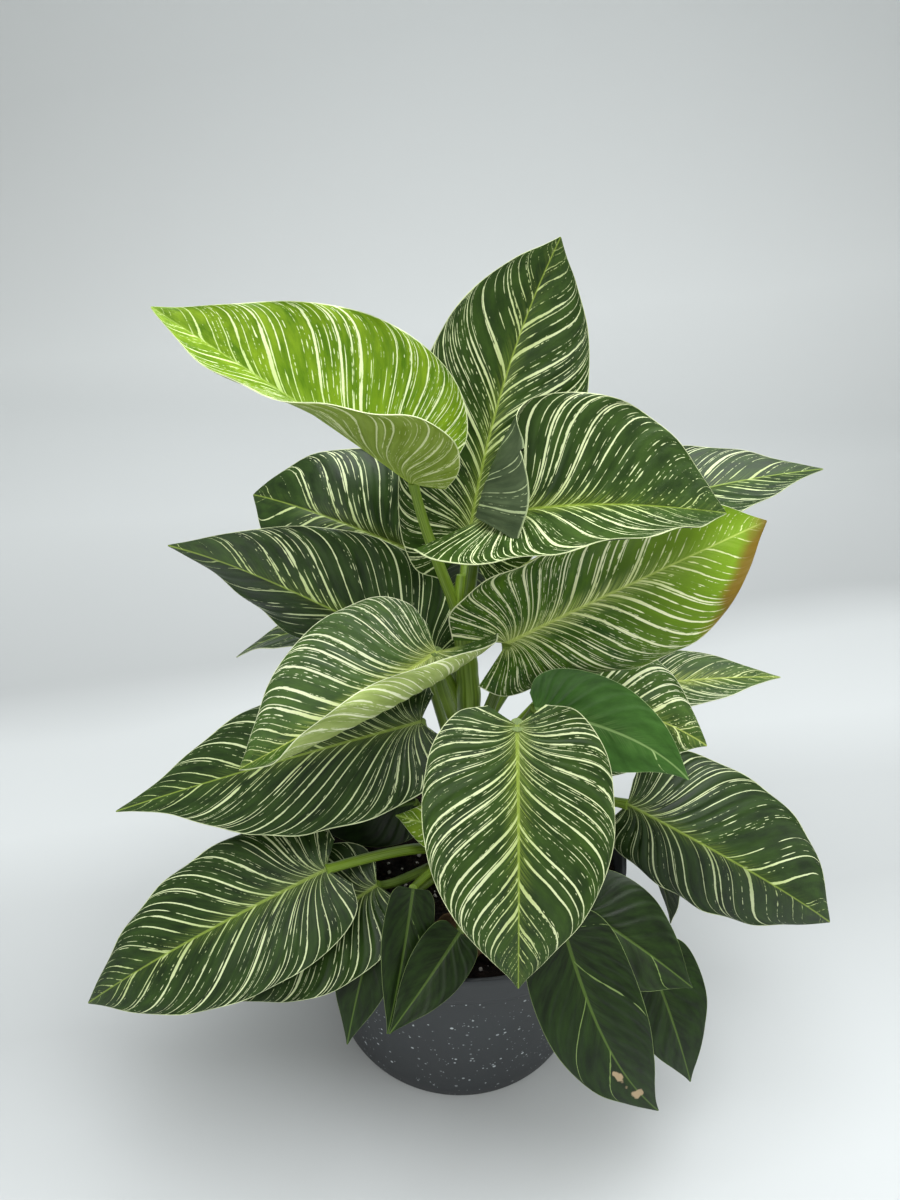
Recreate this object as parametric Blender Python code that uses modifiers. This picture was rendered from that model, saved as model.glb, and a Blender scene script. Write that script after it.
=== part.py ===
"""Potted philodendron with pin-striped leaves: nursery pot, soil, one branched stem and its leaf blades.

World frame in metres: the origin is the centre of the pot's underside, +Z is up, and the plant's front is -Y.
"""

import math

import bmesh
import bpy
import numpy as np

MM = 0.001

# Nursery pot, a lathed shell.
POT_HEIGHT = 118 * MM
POT_BOTTOM_RADIUS = 70 * MM
POT_SHOULDER_RADIUS = 81.5 * MM
POT_BAND_BOTTOM = 98 * MM
POT_BAND_RADIUS = 84.5 * MM
POT_TOP_RADIUS = 86 * MM
POT_WALL = 1.6 * MM
POT_LIP_DEPTH = 2.4 * MM
POT_SIDES = 56
DRAIN_COUNT = 8
DRAIN_RADIUS = 5 * MM
DRAIN_RING = 56 * MM

# Soil, with a low mound round the stem.
SOIL_LEVEL = 104 * MM
SOIL_MOUND = 7 * MM
SOIL_DEPTH_FLOOR = 2.4 * MM
FIT_GAP = 0.3 * MM
SOIL_SIDES = 40

# Leaf blades.
BLADE_THICKNESS = 0.7 * MM
TIP_HALF_WIDTH = 0.7 * MM
VEIN_ROWS = 9
VEIN_STEPS = 3

# Outline of half a blade from the basal sinus to the tip: length along the midrib as a share of the blade's
# length, and the half width as a share of the widest.
OUTLINE = [
    (0.075, 0.91),
    (0.25, 1.0),
    (0.45, 0.93),
    (0.65, 0.70),
    (0.82, 0.385),
    (0.93, 0.145),
]
DRIP_TIP = [0.0, 0.0, 0.03, 0.14, 0.34, 0.42]

# The stem as (x, y, z, radius) in millimetres, from below the soil to the crown.
STEM_POINTS = [
    (1, -12, 98, 8.5),
    (1, -11, 130, 7.5),
    (0, -10, 170, 6.6),
    (-1, -9, 219, 5.6),
    (-4, -8, 250, 4.6),
    (-6, -7, 272, 3.6),
    (-6, -4, 282, 2.6),
]

# One entry per leaf. base and tip are the two ends of the midrib in millimetres, width the flat blade's widest.
# face is where the upper surface looks. bow bends the midrib towards the face and sway bends it to the right,
# each at a third and two thirds of its length, as shares of that length. fold is the angle of each half above
# flat and curl what it gains from midrib to margin, in degrees, each at the base and at the tip. lobe is how far
# the basal lobes reach behind the base, wide moves the widest place towards the tip and drip narrows the tip.
# stalk is where the leaf stalk leaves the stem: height in mm, then how far it first heads out and up in mm,
# the length of its bend at the blade in mm, and its radius in mm at the stem and at the blade. stalk_in is the
# direction in which it meets the blade, and clear how far behind the base it ends, in mm.
LEAVES = {
    "leaf_crown_upright": dict(
        base=(-4, 12, 288), tip=(29, 40, 414), width=76, face=(0.15, -1, 0.2), bow=(0.02, -0.08),
        sway=(-0.05, -0.04), fold_right=(12, 12), fold_left=(12, 12), lobe=(0.12, 0.12), wide=0.06, drip=0.2,
        stalk=(262, 0, 8, 9, 2.6, 2.0), stalk_in=(0.1, -0.1, 1)),
    "leaf_crown_cupped": dict(
        base=(3, -28, 322), tip=(97, -21, 323), width=86, face=(-0.1, -0.1, 1), bow=(0.08, 0.05),
        fold_left=(68, 50), curl_left=(15, -10), fold_right=(0, 10), curl_right=(10, 30), lobe=(0.32, 0.02),
        wide=0.09, drip=0.1, stalk=(250, 4, 25, 18, 2.8, 2.0), stalk_in=(0.3, -0.8, 0.6)),
    "leaf_lime_right": dict(
        base=(14, -22, 259), tip=(117, -12, 316), width=80, face=(-0.2, -1, 0.75), bow=(0.05, 0.03),
        curl_left=(65, 95), fold_right=(-5, -5), curl_right=(-95, 0), lobe=(0.18, 0.18), wide=0.10, drip=0,
        stalk=(178, 8, 36, 22, 3.2, 2.1), stalk_in=(-0.1, -0.3, 1)),
    "leaf_lime_left": dict(
        base=(-27, -10, 327), tip=(-120, -20, 396), width=92, face=(0.1, -1, 0.6), bow=(-0.03, 0.03),
        sway=(0.02, 0), curl_right=(20, 0), fold_left=(100, 45), curl_left=(40, 20), lobe=(0.08, 0.08),
        drip=0.3, stalk=(256, 6, 20, 26, 2.8, 2.0), stalk_in=(-0.2, 0, 1)),
    "leaf_upper_back_right": dict(
        base=(61, 50, 284), tip=(166, 60, 310), width=58, face=(0, -0.35, 1), bow=(0.08, 0.06),
        fold_right=(10, 10), fold_left=(10, 10), lobe=(0.08, 0.08), drip=0.5,
        stalk=(188, 14, 22, 40, 3.6, 2.2), stalk_in=(0.1, -0.1, 1)),
    "leaf_upper_back_left": dict(
        base=(-31, 35, 273), tip=(-108, 55, 290), width=78, face=(0, -0.8, 0.6), bow=(0.15, 0.25),
        fold_right=(10, 10), fold_left=(10, 10), curl_right=(-30, -30), curl_left=(-30, -30),
        lobe=(0.05, 0.05), wide=0.04, drip=0, stalk=(214, 8, 18, 26, 3.2, 2.1), stalk_in=(-0.2, -0.2, 1)),
    "leaf_long_left": dict(
        base=(-16, -8, 242), tip=(-134, 0, 290), width=78, face=(0.1, -1, 0.8), bow=(0.05, 0.10),
        sway=(-0.02, 0.04), fold_right=(5, 5), curl_right=(-20, 0), fold_left=(-62, -65), lobe=(0.12, 0.02),
        drip=0.4, stalk=(205, 5, 12, 14, 3.2, 2.2), stalk_in=(-0.3, -0.2, 0.9), clear=5.5),
    "leaf_rolled_left": dict(
        base=(-16, -40, 266), tip=(-94, -70, 226), width=74, face=(0, -1, 0.8), bow=(0.06, 0.06),
        sway=(-0.03, -0.02), fold_right=(5, 5), curl_right=(-20, -10), fold_left=(10, 60),
        curl_left=(150, 90), lobe=(0.04, 0.26), wide=0.07, drip=0.4,
        stalk=(170, 6, 40, 30, 3.4, 2.2), stalk_in=(0, -0.3, 0.9)),
    "leaf_wide_left": dict(
        base=(-23, -20, 213), tip=(-168, -30, 161), width=84, face=(0, -0.5, 1), bow=(0.06, -0.06),
        sway=(-0.02, 0.04), fold_right=(5, 5), fold_left=(5, 5), curl_right=(-75, 20), curl_left=(10, 10),
        lobe=(0.06, 0.06), drip=0.9, stalk=(160, 6, 24, 22, 3.6, 2.3), stalk_in=(-0.2, -0.2, 1)),
    "leaf_low_left_front": dict(
        base=(-63, -62, 161), tip=(-178, -78, 83), width=70, face=(0, -0.7, 1), bow=(0.10, 0.12),
        fold_right=(3, 3), fold_left=(3, 3), curl_right=(-30, -10), curl_left=(-30, -10),
        lobe=(0.06, 0.06), wide=0.03, drip=0.3, stalk=(118, 18, 24, 26, 3.2, 2.2), stalk_in=(-0.9, -0.5, 0.1)),
    "leaf_low_left_second": dict(
        base=(-41, -56, 145), tip=(-113, -78, 87), width=60, face=(-0.1, -0.6, 1), bow=(0.10, 0.05),
        fold_right=(5, 5), fold_left=(5, 5), lobe=(0.05, 0.05),
        stalk=(118, 14, 12, 16, 3.0, 2.0), stalk_in=(-0.5, -0.5, 0.7)),
    "leaf_low_left_hanging": dict(
        base=(-40, -68, 136), tip=(-52, -97, 86), width=30, face=(-0.45, -1, 0.3), bow=(0.05, 0.05),
        fold_right=(5, 5), fold_left=(5, 5), lobe=(0, 0),
        stalk=(112, 14, 16, 14, 2.6, 1.7), stalk_in=(-0.3, -0.7, 0.7)),
    "leaf_low_inner": dict(
        base=(-24, -60, 148), tip=(-33, -103, 104), width=24, face=(0.3, -1, 0.3), bow=(0.05, 0.05),
        fold_right=(5, 5), fold_left=(5, 5), lobe=(0, 0),
        stalk=(122, 12, 16, 14, 2.6, 1.7), stalk_in=(0.2, -0.5, 0.8)),
    "leaf_low_front": dict(
        base=(-2, -72, 134), tip=(-32, -105, 107), width=27, face=(0, -1, 0.6), bow=(0.05, 0.05),
        fold_right=(5, 5), fold_left=(5, 5), lobe=(0, 0),
        stalk=(112, 16, 14, 14, 2.6, 1.7), stalk_in=(0, -0.6, 0.8)),
    "leaf_front_heart": dict(
        base=(16, -75, 257), tip=(21, -115, 155), width=74, face=(0, -1, 0.5), bow=(0.08, 0.06),
        fold_right=(5, 15), fold_left=(5, 15), curl_right=(-25, 10), curl_left=(-25, 10),
        lobe=(0.07, 0.07), wide=0.05, drip=0.2, stalk=(140, 20, 60, 34, 3.8, 2.4), stalk_in=(0, -0.5, 0.9)),
    "leaf_mid_right": dict(
        base=(34, -5, 218), tip=(110, -20, 204), width=70, face=(0, -0.8, 0.7), bow=(0.20, 0.20),
        sway=(-0.06, -0.08), curl_right=(-20, -20), curl_left=(-20, -20), lobe=(0.05, 0.05), drip=0.2,
        stalk=(168, 10, 16, 20, 3.4, 2.2), stalk_in=(0.4, -0.3, 0.9)),
    "leaf_plain_right": dict(
        base=(27, -36, 235), tip=(95, -48, 208), width=42, face=(0, -1, 0.5), bow=(0.05, 0.10),
        sway=(-0.08, -0.14), curl_right=(-10, -10), curl_left=(-10, -10), lobe=(0.05, 0.05),
        stalk=(150, 8, 30, 22, 3.0, 2.0), stalk_in=(0.2, -0.4, 0.9)),
    "leaf_mid_back_right": dict(
        base=(75, 40, 190), tip=(165, 45, 198), width=38, face=(0, -0.4, 1), bow=(0.06, 0.06),
        fold_right=(10, 10), fold_left=(10, 10), lobe=(0.05, 0.05), drip=0.5,
        stalk=(136, 16, 20, 28, 3.2, 2.0), stalk_in=(0.4, -0.1, 0.9)),
    "leaf_low_right": dict(
        base=(78, -20, 166), tip=(183, -40, 110), width=82, face=(0.1, -0.8, 0.8), bow=(0.10, 0.15),
        fold_right=(-55, -40), curl_right=(-10, -10), curl_left=(-10, -10), lobe=(0.02, 0.02), wide=0.12,
        drip=0, stalk=(132, 26, 26, 26, 3.6, 2.3), stalk_in=(0.8, -0.5, 0.2), clear=2.5),
    "leaf_hanging_right": dict(
        base=(88, 2, 127), tip=(118, -4, 62), width=42, face=(1, 0.4, 0.3), bow=(0.10, 0.10),
        fold_right=(5, 5), fold_left=(5, 5), lobe=(0.02, 0.02),
        stalk=(112, 24, 20, 22, 2.8, 1.9), stalk_in=(0.9, 0.2, -0.3)),
    "leaf_low_right_upper": dict(
        base=(49, -66, 148), tip=(104, -84, 116), width=46, face=(0.2, -0.7, 0.8), bow=(0.15, 0.12),
        fold_right=(5, 5), fold_left=(5, 5), lobe=(0.02, 0.02),
        stalk=(122, 20, 20, 24, 3.0, 1.9), stalk_in=(0.4, -0.5, 0.7)),
    "leaf_low_right_front": dict(
        base=(41, -88, 160), tip=(88, -118, 77), width=45, face=(0, -1, 0.5), bow=(0.08, 0.08),
        sway=(0.06, 0.10), fold_right=(5, 5), fold_left=(5, 5), lobe=(0.04, 0.04), wide=0.08,
        stalk=(116, 22, 22, 26, 3.0, 1.9), stalk_in=(0, -0.6, 0.8)),
    "leaf_low_right_back": dict(
        base=(87, -62, 113), tip=(113, -88, 50), width=42, face=(0.3, -1, 0.4), bow=(0.08, 0.08),
        fold_right=(5, 5), fold_left=(5, 5), lobe=(0.02, 0.02),
        stalk=(110, 22, 44, 30, 2.8, 1.8), stalk_in=(0.3, -0.7, -0.6)),
    "leaf_inner_dark": dict(
        base=(-26, 2, 142), tip=(-84, 0, 128), width=38, face=(0, -0.8, 0.6), bow=(0.10, 0.10),
        fold_right=(5, 5), fold_left=(5, 5), lobe=(0.02, 0.02),
        stalk=(112, 4, 10, 8, 2.6, 1.8), stalk_in=(-0.4, -0.3, 0.9)),
    "leaf_inner_lime": dict(
        base=(-5, -27, 151), tip=(-34, -28, 162), width=24, face=(0, -0.7, 0.8), bow=(0.10, 0.10),
        fold_right=(5, 5), fold_left=(5, 5), lobe=(0.02, 0.02),
        stalk=(122, 4, 10, 10, 2.2, 1.6), stalk_in=(0.1, -0.2, 1)),
    "leaf_far_left": dict(
        base=(-26, 45, 209), tip=(-127, 60, 190), width=50, face=(0, 0, 1), bow=(0.20, 0.20),
        fold_right=(5, 5), fold_left=(5, 5), lobe=(0.02, 0.02),
        stalk=(150, 12, 20, 22, 3.0, 2.0), stalk_in=(-0.3, 0, 1)),
    "leaf_back_pale": dict(
        base=(-4, 32, 274), tip=(0, 80, 188), width=38, face=(0, 1, 0.5), bow=(0.10, 0.10),
        fold_right=(5, 5), fold_left=(5, 5), lobe=(0.05, 0.05),
        stalk=(196, 8, 30, 18, 3.0, 2.0), stalk_in=(0, 0.3, 0.9)),
}
LEAF_DEFAULTS = dict(
    bow=(0, 0), sway=(0, 0), fold_right=(0, 0), fold_left=(0, 0), curl_right=(0, 0), curl_left=(0, 0),
    wide=0.0, drip=0.4, clear=0.6)

STALK_RINGS = 9
STALK_SIDES = 6
STEM_SIDES = 12


def clear_scene():
    for obj in list(bpy.data.objects):
        bpy.data.objects.remove(obj, do_unlink=True)
    for collection in list(bpy.data.collections):
        bpy.data.collections.remove(collection)


def new_collection(name):
    collection = bpy.data.collections.new(name)
    bpy.context.scene.collection.children.link(collection)
    return collection


def material(name, color, roughness):
    made = bpy.data.materials.new(name)
    made.use_nodes = True
    shader = made.node_tree.nodes["Principled BSDF"]
    shader.inputs["Base Color"].default_value = (*color, 1.0)
    shader.inputs["Roughness"].default_value = roughness
    made.diffuse_color = (*color, 1.0)
    return made


def add_mesh(name, points, faces, collection, surface):
    mesh = bpy.data.meshes.new(name)
    mesh.from_pydata([tuple(map(float, p)) for p in points], [], faces)
    mesh.update()
    obj = bpy.data.objects.new(name, mesh)
    collection.objects.link(obj)
    mesh.materials.append(surface)
    return obj


def unit(vectors):
    vectors = np.asarray(vectors, float)
    return vectors / np.linalg.norm(vectors, axis=-1, keepdims=True)


def bezier(controls, share):
    """Points of a cubic Bezier at each share of it, and its unit tangents there."""
    a, b, c, d = (np.asarray(p, float) for p in controls)
    u = np.asarray(share, float)[..., None]
    points = (1 - u) ** 3 * a + 3 * (1 - u) ** 2 * u * b + 3 * (1 - u) * u**2 * c + u**3 * d
    slopes = (1 - u) ** 2 * (b - a) + 2 * (1 - u) * u * (c - b) + u**2 * (d - c)
    return points, unit(slopes)


def spline(points, count):
    """count + 1 points evenly spaced along a Catmull-Rom curve through the given ones."""
    p = np.asarray(points, float)
    p = np.vstack([2 * p[0] - p[1], p, 2 * p[-1] - p[-2]])
    dense = []
    for i in range(1, len(p) - 2):
        u = np.linspace(0, 1, 24, endpoint=False)[:, None]
        a, b, c, d = p[i - 1 : i + 3]
        dense.append(
            0.5 * (2 * b + (c - a) * u + (2 * a - 5 * b + 4 * c - d) * u**2 + (3 * b - a - 3 * c + d) * u**3)
        )
    dense = np.vstack([*dense, p[-2]])
    run = np.concatenate([[0], np.cumsum(np.linalg.norm(np.diff(dense, axis=0), axis=1))])
    wanted = np.linspace(0, run[-1], count + 1)
    return np.stack([np.interp(wanted, run, dense[:, k]) for k in range(p.shape[1])], axis=1)


def lathe(profile, sides):
    """Points and faces of a closed profile of (radius, height) turned about Z."""
    angles = np.arange(sides) * 2 * math.pi / sides
    points = [(r * math.cos(a), r * math.sin(a), z) for r, z in profile for a in angles]
    faces = []
    count = len(profile)
    for i in range(count):
        k = (i + 1) % count
        for j in range(sides):
            n = (j + 1) % sides
            faces.append((i * sides + j, i * sides + n, k * sides + n, k * sides + j))
    return points, faces


def merge_poles(obj):
    """Joins the points of a lathed ring that lie on the axis, and turns every face outwards."""
    shape = bmesh.new()
    shape.from_mesh(obj.data)
    bmesh.ops.remove_doubles(shape, verts=shape.verts, dist=0.01 * MM)
    bmesh.ops.recalc_face_normals(shape, faces=shape.faces)
    shape.to_mesh(obj.data)
    shape.free()


def make_pot(collection, cutters, surface):
    """A thin tapered shell with a wider band under the lip, a flat floor and drain holes near its edge."""
    inner_bottom = POT_BOTTOM_RADIUS - POT_WALL
    profile = [
        (0.0, 0.0),
        (POT_BOTTOM_RADIUS - 1.5 * MM, 0.0),
        (POT_BOTTOM_RADIUS, 1.5 * MM),
        (POT_SHOULDER_RADIUS, POT_BAND_BOTTOM),
        (POT_BAND_RADIUS, POT_BAND_BOTTOM + 1.5 * MM),
        (POT_TOP_RADIUS, POT_HEIGHT - 0.8 * MM),
        (POT_TOP_RADIUS - 0.8 * MM, POT_HEIGHT),
        (POT_TOP_RADIUS - POT_LIP_DEPTH, POT_HEIGHT),
        (POT_BAND_RADIUS - POT_LIP_DEPTH - 0.4 * MM, POT_BAND_BOTTOM + 3 * MM),
        (POT_SHOULDER_RADIUS - POT_WALL, POT_BAND_BOTTOM - 1 * MM),
        (inner_bottom, 3 * MM),
        (inner_bottom - 1 * MM, 2 * MM),
        (0.0, 2 * MM),
    ]
    points, faces = lathe(profile, POT_SIDES)
    pot = add_mesh("pot", points, faces, collection, surface)
    merge_poles(pot)
    for i in range(DRAIN_COUNT):
        angle = (i + 0.5) * 2 * math.pi / DRAIN_COUNT
        hole, hole_faces = lathe(
            [(0.0, -2 * MM), (DRAIN_RADIUS, -2 * MM), (DRAIN_RADIUS, 6 * MM), (0.0, 6 * MM)], 12
        )
        cutter = add_mesh("drain_cutter", hole, hole_faces, cutters, surface)
        merge_poles(cutter)
        cutter.location = (DRAIN_RING * math.cos(angle), DRAIN_RING * math.sin(angle), 0)
        cutter.hide_render = True
        cutter.display_type = "WIRE"
    drains = pot.modifiers.new("drain holes", "BOOLEAN")
    drains.operation = "DIFFERENCE"
    drains.operand_type = "COLLECTION"
    drains.collection = cutters
    drains.solver = "EXACT"
    return pot


def make_soil(collection, surface):
    """Potting mix filling the pot to below its lip, mounded round the stem, with a well for the stem's foot."""
    low = 2 * MM + FIT_GAP
    bottom = POT_BOTTOM_RADIUS - POT_WALL - 1 * MM - FIT_GAP
    slope = (POT_SHOULDER_RADIUS - POT_WALL - (POT_BOTTOM_RADIUS - POT_WALL)) / (POT_BAND_BOTTOM - 4 * MM)
    side = POT_BOTTOM_RADIUS - POT_WALL - FIT_GAP
    shoulder = POT_BAND_BOTTOM - 2 * MM
    edge = side + slope * (shoulder - 3 * MM) - 0.2 * MM
    well = STEM_POINTS[0][3] * MM + 0.4 * MM
    well_bottom = STEM_POINTS[0][2] * MM - FIT_GAP
    profile = [
        (0.0, low),
        (bottom - 1 * MM, low),
        (side - 0.2 * MM, 5 * MM),
        (edge, shoulder),
        (edge + 0.1 * MM, SOIL_LEVEL),
        (0.72 * edge, SOIL_LEVEL + 0.25 * SOIL_MOUND),
        (0.42 * edge, SOIL_LEVEL + 0.7 * SOIL_MOUND),
        (well, SOIL_LEVEL + SOIL_MOUND),
        (well, well_bottom),
        (0.0, well_bottom),
    ]
    points, faces = lathe(profile, SOIL_SIDES)
    middle = np.array([STEM_POINTS[0][0], STEM_POINTS[0][1]]) * MM
    moved = []
    for x, y, z in points:
        radius = math.hypot(x, y)
        share = max(0.0, 1 - radius / (0.8 * edge)) if radius > well else 1.0
        shift = middle * (1.0 if radius <= well * 1.01 else share)
        if z <= shoulder:
            shift = middle if (radius <= well * 1.01 and z > 50 * MM) else 0 * middle
        moved.append((x + shift[0], y + shift[1], z))
    soil = add_mesh("soil", moved, faces, collection, surface)
    merge_poles(soil)
    return soil


def tube(path, radii, sides):
    """A closed tube of the given radii round a path, with flat ends."""
    path = np.asarray(path, float)
    along = unit(np.gradient(path, axis=0))
    side = unit(np.cross(along[0], (0.3, 1.0, 0.2)))
    points = []
    for centre, direction, radius in zip(path, along, radii):
        side = unit(side - direction * np.dot(side, direction))
        across = np.cross(direction, side)
        for k in range(sides):
            angle = 2 * math.pi * k / sides
            points.append(centre + radius * (math.cos(angle) * side + math.sin(angle) * across))
    faces = []
    for i in range(len(path) - 1):
        for k in range(sides):
            n = (k + 1) % sides
            faces.append((i * sides + k, i * sides + n, (i + 1) * sides + n, (i + 1) * sides + k))
    last = (len(path) - 1) * sides
    faces.append(tuple(reversed(range(sides))))
    faces.append(tuple(range(last, last + sides)))
    return points, faces


def stem_at(height):
    """Centre of the stem at a height."""
    points = np.array(STEM_POINTS, float)
    return np.array([np.interp(height, points[:, 2], points[:, k]) for k in range(2)] + [height]) * MM


class Blade:
    """The shape of one leaf blade: its midrib, and the surface on each side of it."""

    def __init__(self, values):
        self.values = {**LEAF_DEFAULTS, **values}
        self.base = np.array(values["base"], float) * MM
        self.tip = np.array(values["tip"], float) * MM
        self.length = float(np.linalg.norm(self.tip - self.base))
        self.half = values["width"] * MM / 2
        self.along = unit(self.tip - self.base)
        face = np.array(values["face"], float)
        self.up = unit(face - self.along * np.dot(face, self.along))
        self.right = np.cross(self.along, self.up)
        bow, sway = self.values["bow"], self.values["sway"]
        self.controls = [self.base]
        for k in range(2):
            step = self.along * (k + 1) / 3 + self.up * bow[k] + self.right * sway[k]
            self.controls.append(self.base + step * self.length)
        self.controls.append(self.tip)

    def flat_half(self, lobe):
        """Flat (length, width) coordinates of half the blade, a row per side vein from midrib to margin."""
        outline = [(-lobe, 0.30), (-0.62 * lobe, 0.64)]
        for (x, y), narrowing in zip(OUTLINE, DRIP_TIP):
            x += self.values["wide"] * math.sin(math.pi * x)
            outline.append((x, y * (1 - self.values["drip"] * narrowing)))
        margin = [(x * self.length, y * self.half) for x, y in outline]
        margin.append((self.length, TIP_HALF_WIDTH))
        margin = spline(margin, VEIN_ROWS)
        start = self.length * np.linspace(0, 1, VEIN_ROWS + 1) ** 1.9
        s = np.linspace(0, 1, VEIN_STEPS + 1)
        grid = np.zeros((VEIN_ROWS + 1, VEIN_STEPS + 1, 2))
        for row in range(VEIN_ROWS + 1):
            reach = margin[row, 0] - start[row]
            sweep = 0.55 * s + 0.45 * s**2 if reach > 0 else 1.5 * s - 0.5 * s**2
            grid[row, :, 0] = start[row] + reach * sweep
            grid[row, :, 1] = margin[row, 1] * (1.25 * s - 0.25 * s**2)
        return grid

    def surface(self, grid, side):
        """Where flat coordinates end up in space: side is 1 for the right half and -1 for the left."""
        x, y = grid[..., 0], grid[..., 1]
        share = np.clip(x / self.length, 0, 1)
        spine, tangent = bezier(self.controls, share)
        spine = spine + tangent * np.minimum(x, 0)[..., None]
        normal = unit(self.up - tangent * np.sum(self.up * tangent, axis=-1, keepdims=True))
        across = np.cross(tangent, normal)
        name = "right" if side > 0 else "left"
        fold = self.values["fold_" + name]
        curl = self.values["curl_" + name]
        start = np.radians(fold[0] + (fold[1] - fold[0]) * share)
        turn = np.radians(curl[0] + (curl[1] - curl[0]) * share)
        turn = np.where(np.abs(turn) < 1e-4, 1e-4, turn)
        out = y / self.half
        sideways = self.half / turn * (np.sin(start + turn * out) - np.sin(start))
        upwards = self.half / turn * (np.cos(start) - np.cos(start + turn * out))
        return spine + across * (side * sideways)[..., None] + normal * upwards[..., None]

    def stalk_path(self):
        height, out, rise, bend, _, _ = self.values["stalk"]
        foot = stem_at(height)
        away = (self.base - foot) * (1, 1, 0)
        away = unit(away) if np.linalg.norm(away) > 1 * MM else np.zeros(3)
        _, tangent = bezier(self.controls, np.array(0.0))
        normal = unit(self.up - tangent * np.dot(self.up, tangent))
        arrival = unit(self.values["stalk_in"])
        lean = math.sqrt(max(0.0, 1 - float(np.dot(arrival, normal)) ** 2))
        drop = BLADE_THICKNESS / 2 + FIT_GAP + lean * self.values["stalk"][5] * MM
        end = self.base - arrival * self.values["clear"] * MM - normal * drop
        controls = [foot, foot + (away * out + np.array([0, 0, rise])) * MM, end - arrival * bend * MM, end]
        return bezier(controls, np.linspace(0, 1, STALK_RINGS))[0]


def make_blade(name, blade, collection, surface):
    """Both halves joined at the midrib and given their thickness, which closes the sheet."""
    points = []
    rows = {}
    for side, lobe in zip((1, -1), blade.values["lobe"]):
        grid = blade.surface(blade.flat_half(lobe), side)
        index = np.zeros(grid.shape[:2], int)
        for row in range(VEIN_ROWS + 1):
            for step in range(VEIN_STEPS + 1):
                if step == 0 and side < 0:
                    index[row, step] = rows[1][row, 0]
                    continue
                index[row, step] = len(points)
                points.append(grid[row, step])
        rows[side] = index
    faces = []
    for side, index in rows.items():
        for row in range(VEIN_ROWS):
            for step in range(VEIN_STEPS):
                quad = (index[row, step], index[row, step + 1], index[row + 1, step + 1], index[row + 1, step])
                faces.append(tuple(int(v) for v in (quad if side > 0 else reversed(quad))))
    leaf = add_mesh(name, points, faces, collection, surface)
    solid = leaf.modifiers.new("blade thickness", "SOLIDIFY")
    solid.thickness = BLADE_THICKNESS
    solid.offset = 0
    solid.use_even_offset = False
    return leaf


def make_stems(blades, collection, cutters, surface):
    """The stem and every leaf stalk grown out of it, as one body."""
    path = spline([p for p in STEM_POINTS], 12)
    points, faces = tube(path[:, :3] * MM, path[:, 3] * MM, STEM_SIDES)
    stems = add_mesh("stems", points, faces, collection, surface)
    for name, blade in blades.items():
        _, _, _, _, thick, thin = blade.values["stalk"]
        radii = np.linspace(thick, thin, STALK_RINGS) * MM
        points, faces = tube(blade.stalk_path(), radii, STALK_SIDES)
        stalk = add_mesh(name.replace("leaf", "stalk"), points, faces, cutters, surface)
        stalk.hide_render = True
        stalk.display_type = "WIRE"
    joined = stems.modifiers.new("leaf stalks", "BOOLEAN")
    joined.operation = "UNION"
    joined.operand_type = "COLLECTION"
    joined.collection = cutters
    joined.solver = "EXACT"
    joined.use_self = True
    return stems


def main():
    clear_scene()
    plant = new_collection("potted_philodendron")
    drain_cutters = new_collection("drain_cutters")
    stalk_tools = new_collection("stalk_tools")
    make_pot(plant, drain_cutters, material("pot plastic", (0.035, 0.038, 0.045), 0.5))
    make_soil(plant, material("soil", (0.02, 0.014, 0.01), 0.95))
    blades = {name: Blade(values) for name, values in LEAVES.items()}
    green = material("leaf", (0.05, 0.12, 0.03), 0.4)
    for name, blade in blades.items():
        make_blade(name, blade, plant, green)
    make_stems(blades, plant, stalk_tools, material("stem", (0.25, 0.35, 0.06), 0.45))


main()
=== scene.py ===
import math
import random
import bpy
import numpy as np
from mathutils import Matrix, Vector


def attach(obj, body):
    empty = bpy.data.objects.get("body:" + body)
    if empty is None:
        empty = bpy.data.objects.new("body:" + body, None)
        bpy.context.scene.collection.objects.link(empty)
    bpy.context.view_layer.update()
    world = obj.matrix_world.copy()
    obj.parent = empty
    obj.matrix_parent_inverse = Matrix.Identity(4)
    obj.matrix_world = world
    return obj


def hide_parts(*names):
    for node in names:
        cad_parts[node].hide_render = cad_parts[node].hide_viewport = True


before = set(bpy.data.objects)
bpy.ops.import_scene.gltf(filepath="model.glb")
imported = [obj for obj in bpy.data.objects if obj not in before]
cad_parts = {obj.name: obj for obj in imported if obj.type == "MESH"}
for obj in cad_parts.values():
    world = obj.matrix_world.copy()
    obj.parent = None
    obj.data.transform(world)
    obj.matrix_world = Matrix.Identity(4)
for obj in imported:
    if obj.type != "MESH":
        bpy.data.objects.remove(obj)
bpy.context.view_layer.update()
mm = 0.001


def linearColor(code):
    # sRGB hex to the linear values that shaders use
    values = [int(code[i:i + 2], 16) / 255 for i in (1, 3, 5)]
    return tuple(v / 12.92 if v <= 0.04045 else ((v + 0.055) / 1.055) ** 2.4 for v in values) + (1.0,)


def addNode(tree, kind, links=None, **settings):
    # links maps an input's name or number to a value, or to the output that feeds it
    node = tree.nodes.new(kind)
    for name, value in settings.items():
        setattr(node, name, value)
    for name, value in (links or {}).items():
        if isinstance(value, bpy.types.NodeSocket):
            tree.links.new(value, node.inputs[name])
        else:
            node.inputs[name].default_value = value
    return node


def newMaterial(name):
    made = bpy.data.materials.new(name)
    made.use_nodes = True
    tree = made.node_tree
    return made, tree, tree.nodes["Principled BSDF"]


def paint(shader, **values):
    # a value that is the same all over goes on the shader's own socket
    names = {"roughness": "Roughness", "ior": "IOR", "coat": "Coat Weight", "coatRoughness": "Coat Roughness",
             "sheen": "Sheen Weight", "specular": "Specular IOR Level", "subsurface": "Subsurface Weight"}
    for name, value in values.items():
        shader.inputs[names[name]].default_value = value


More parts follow.
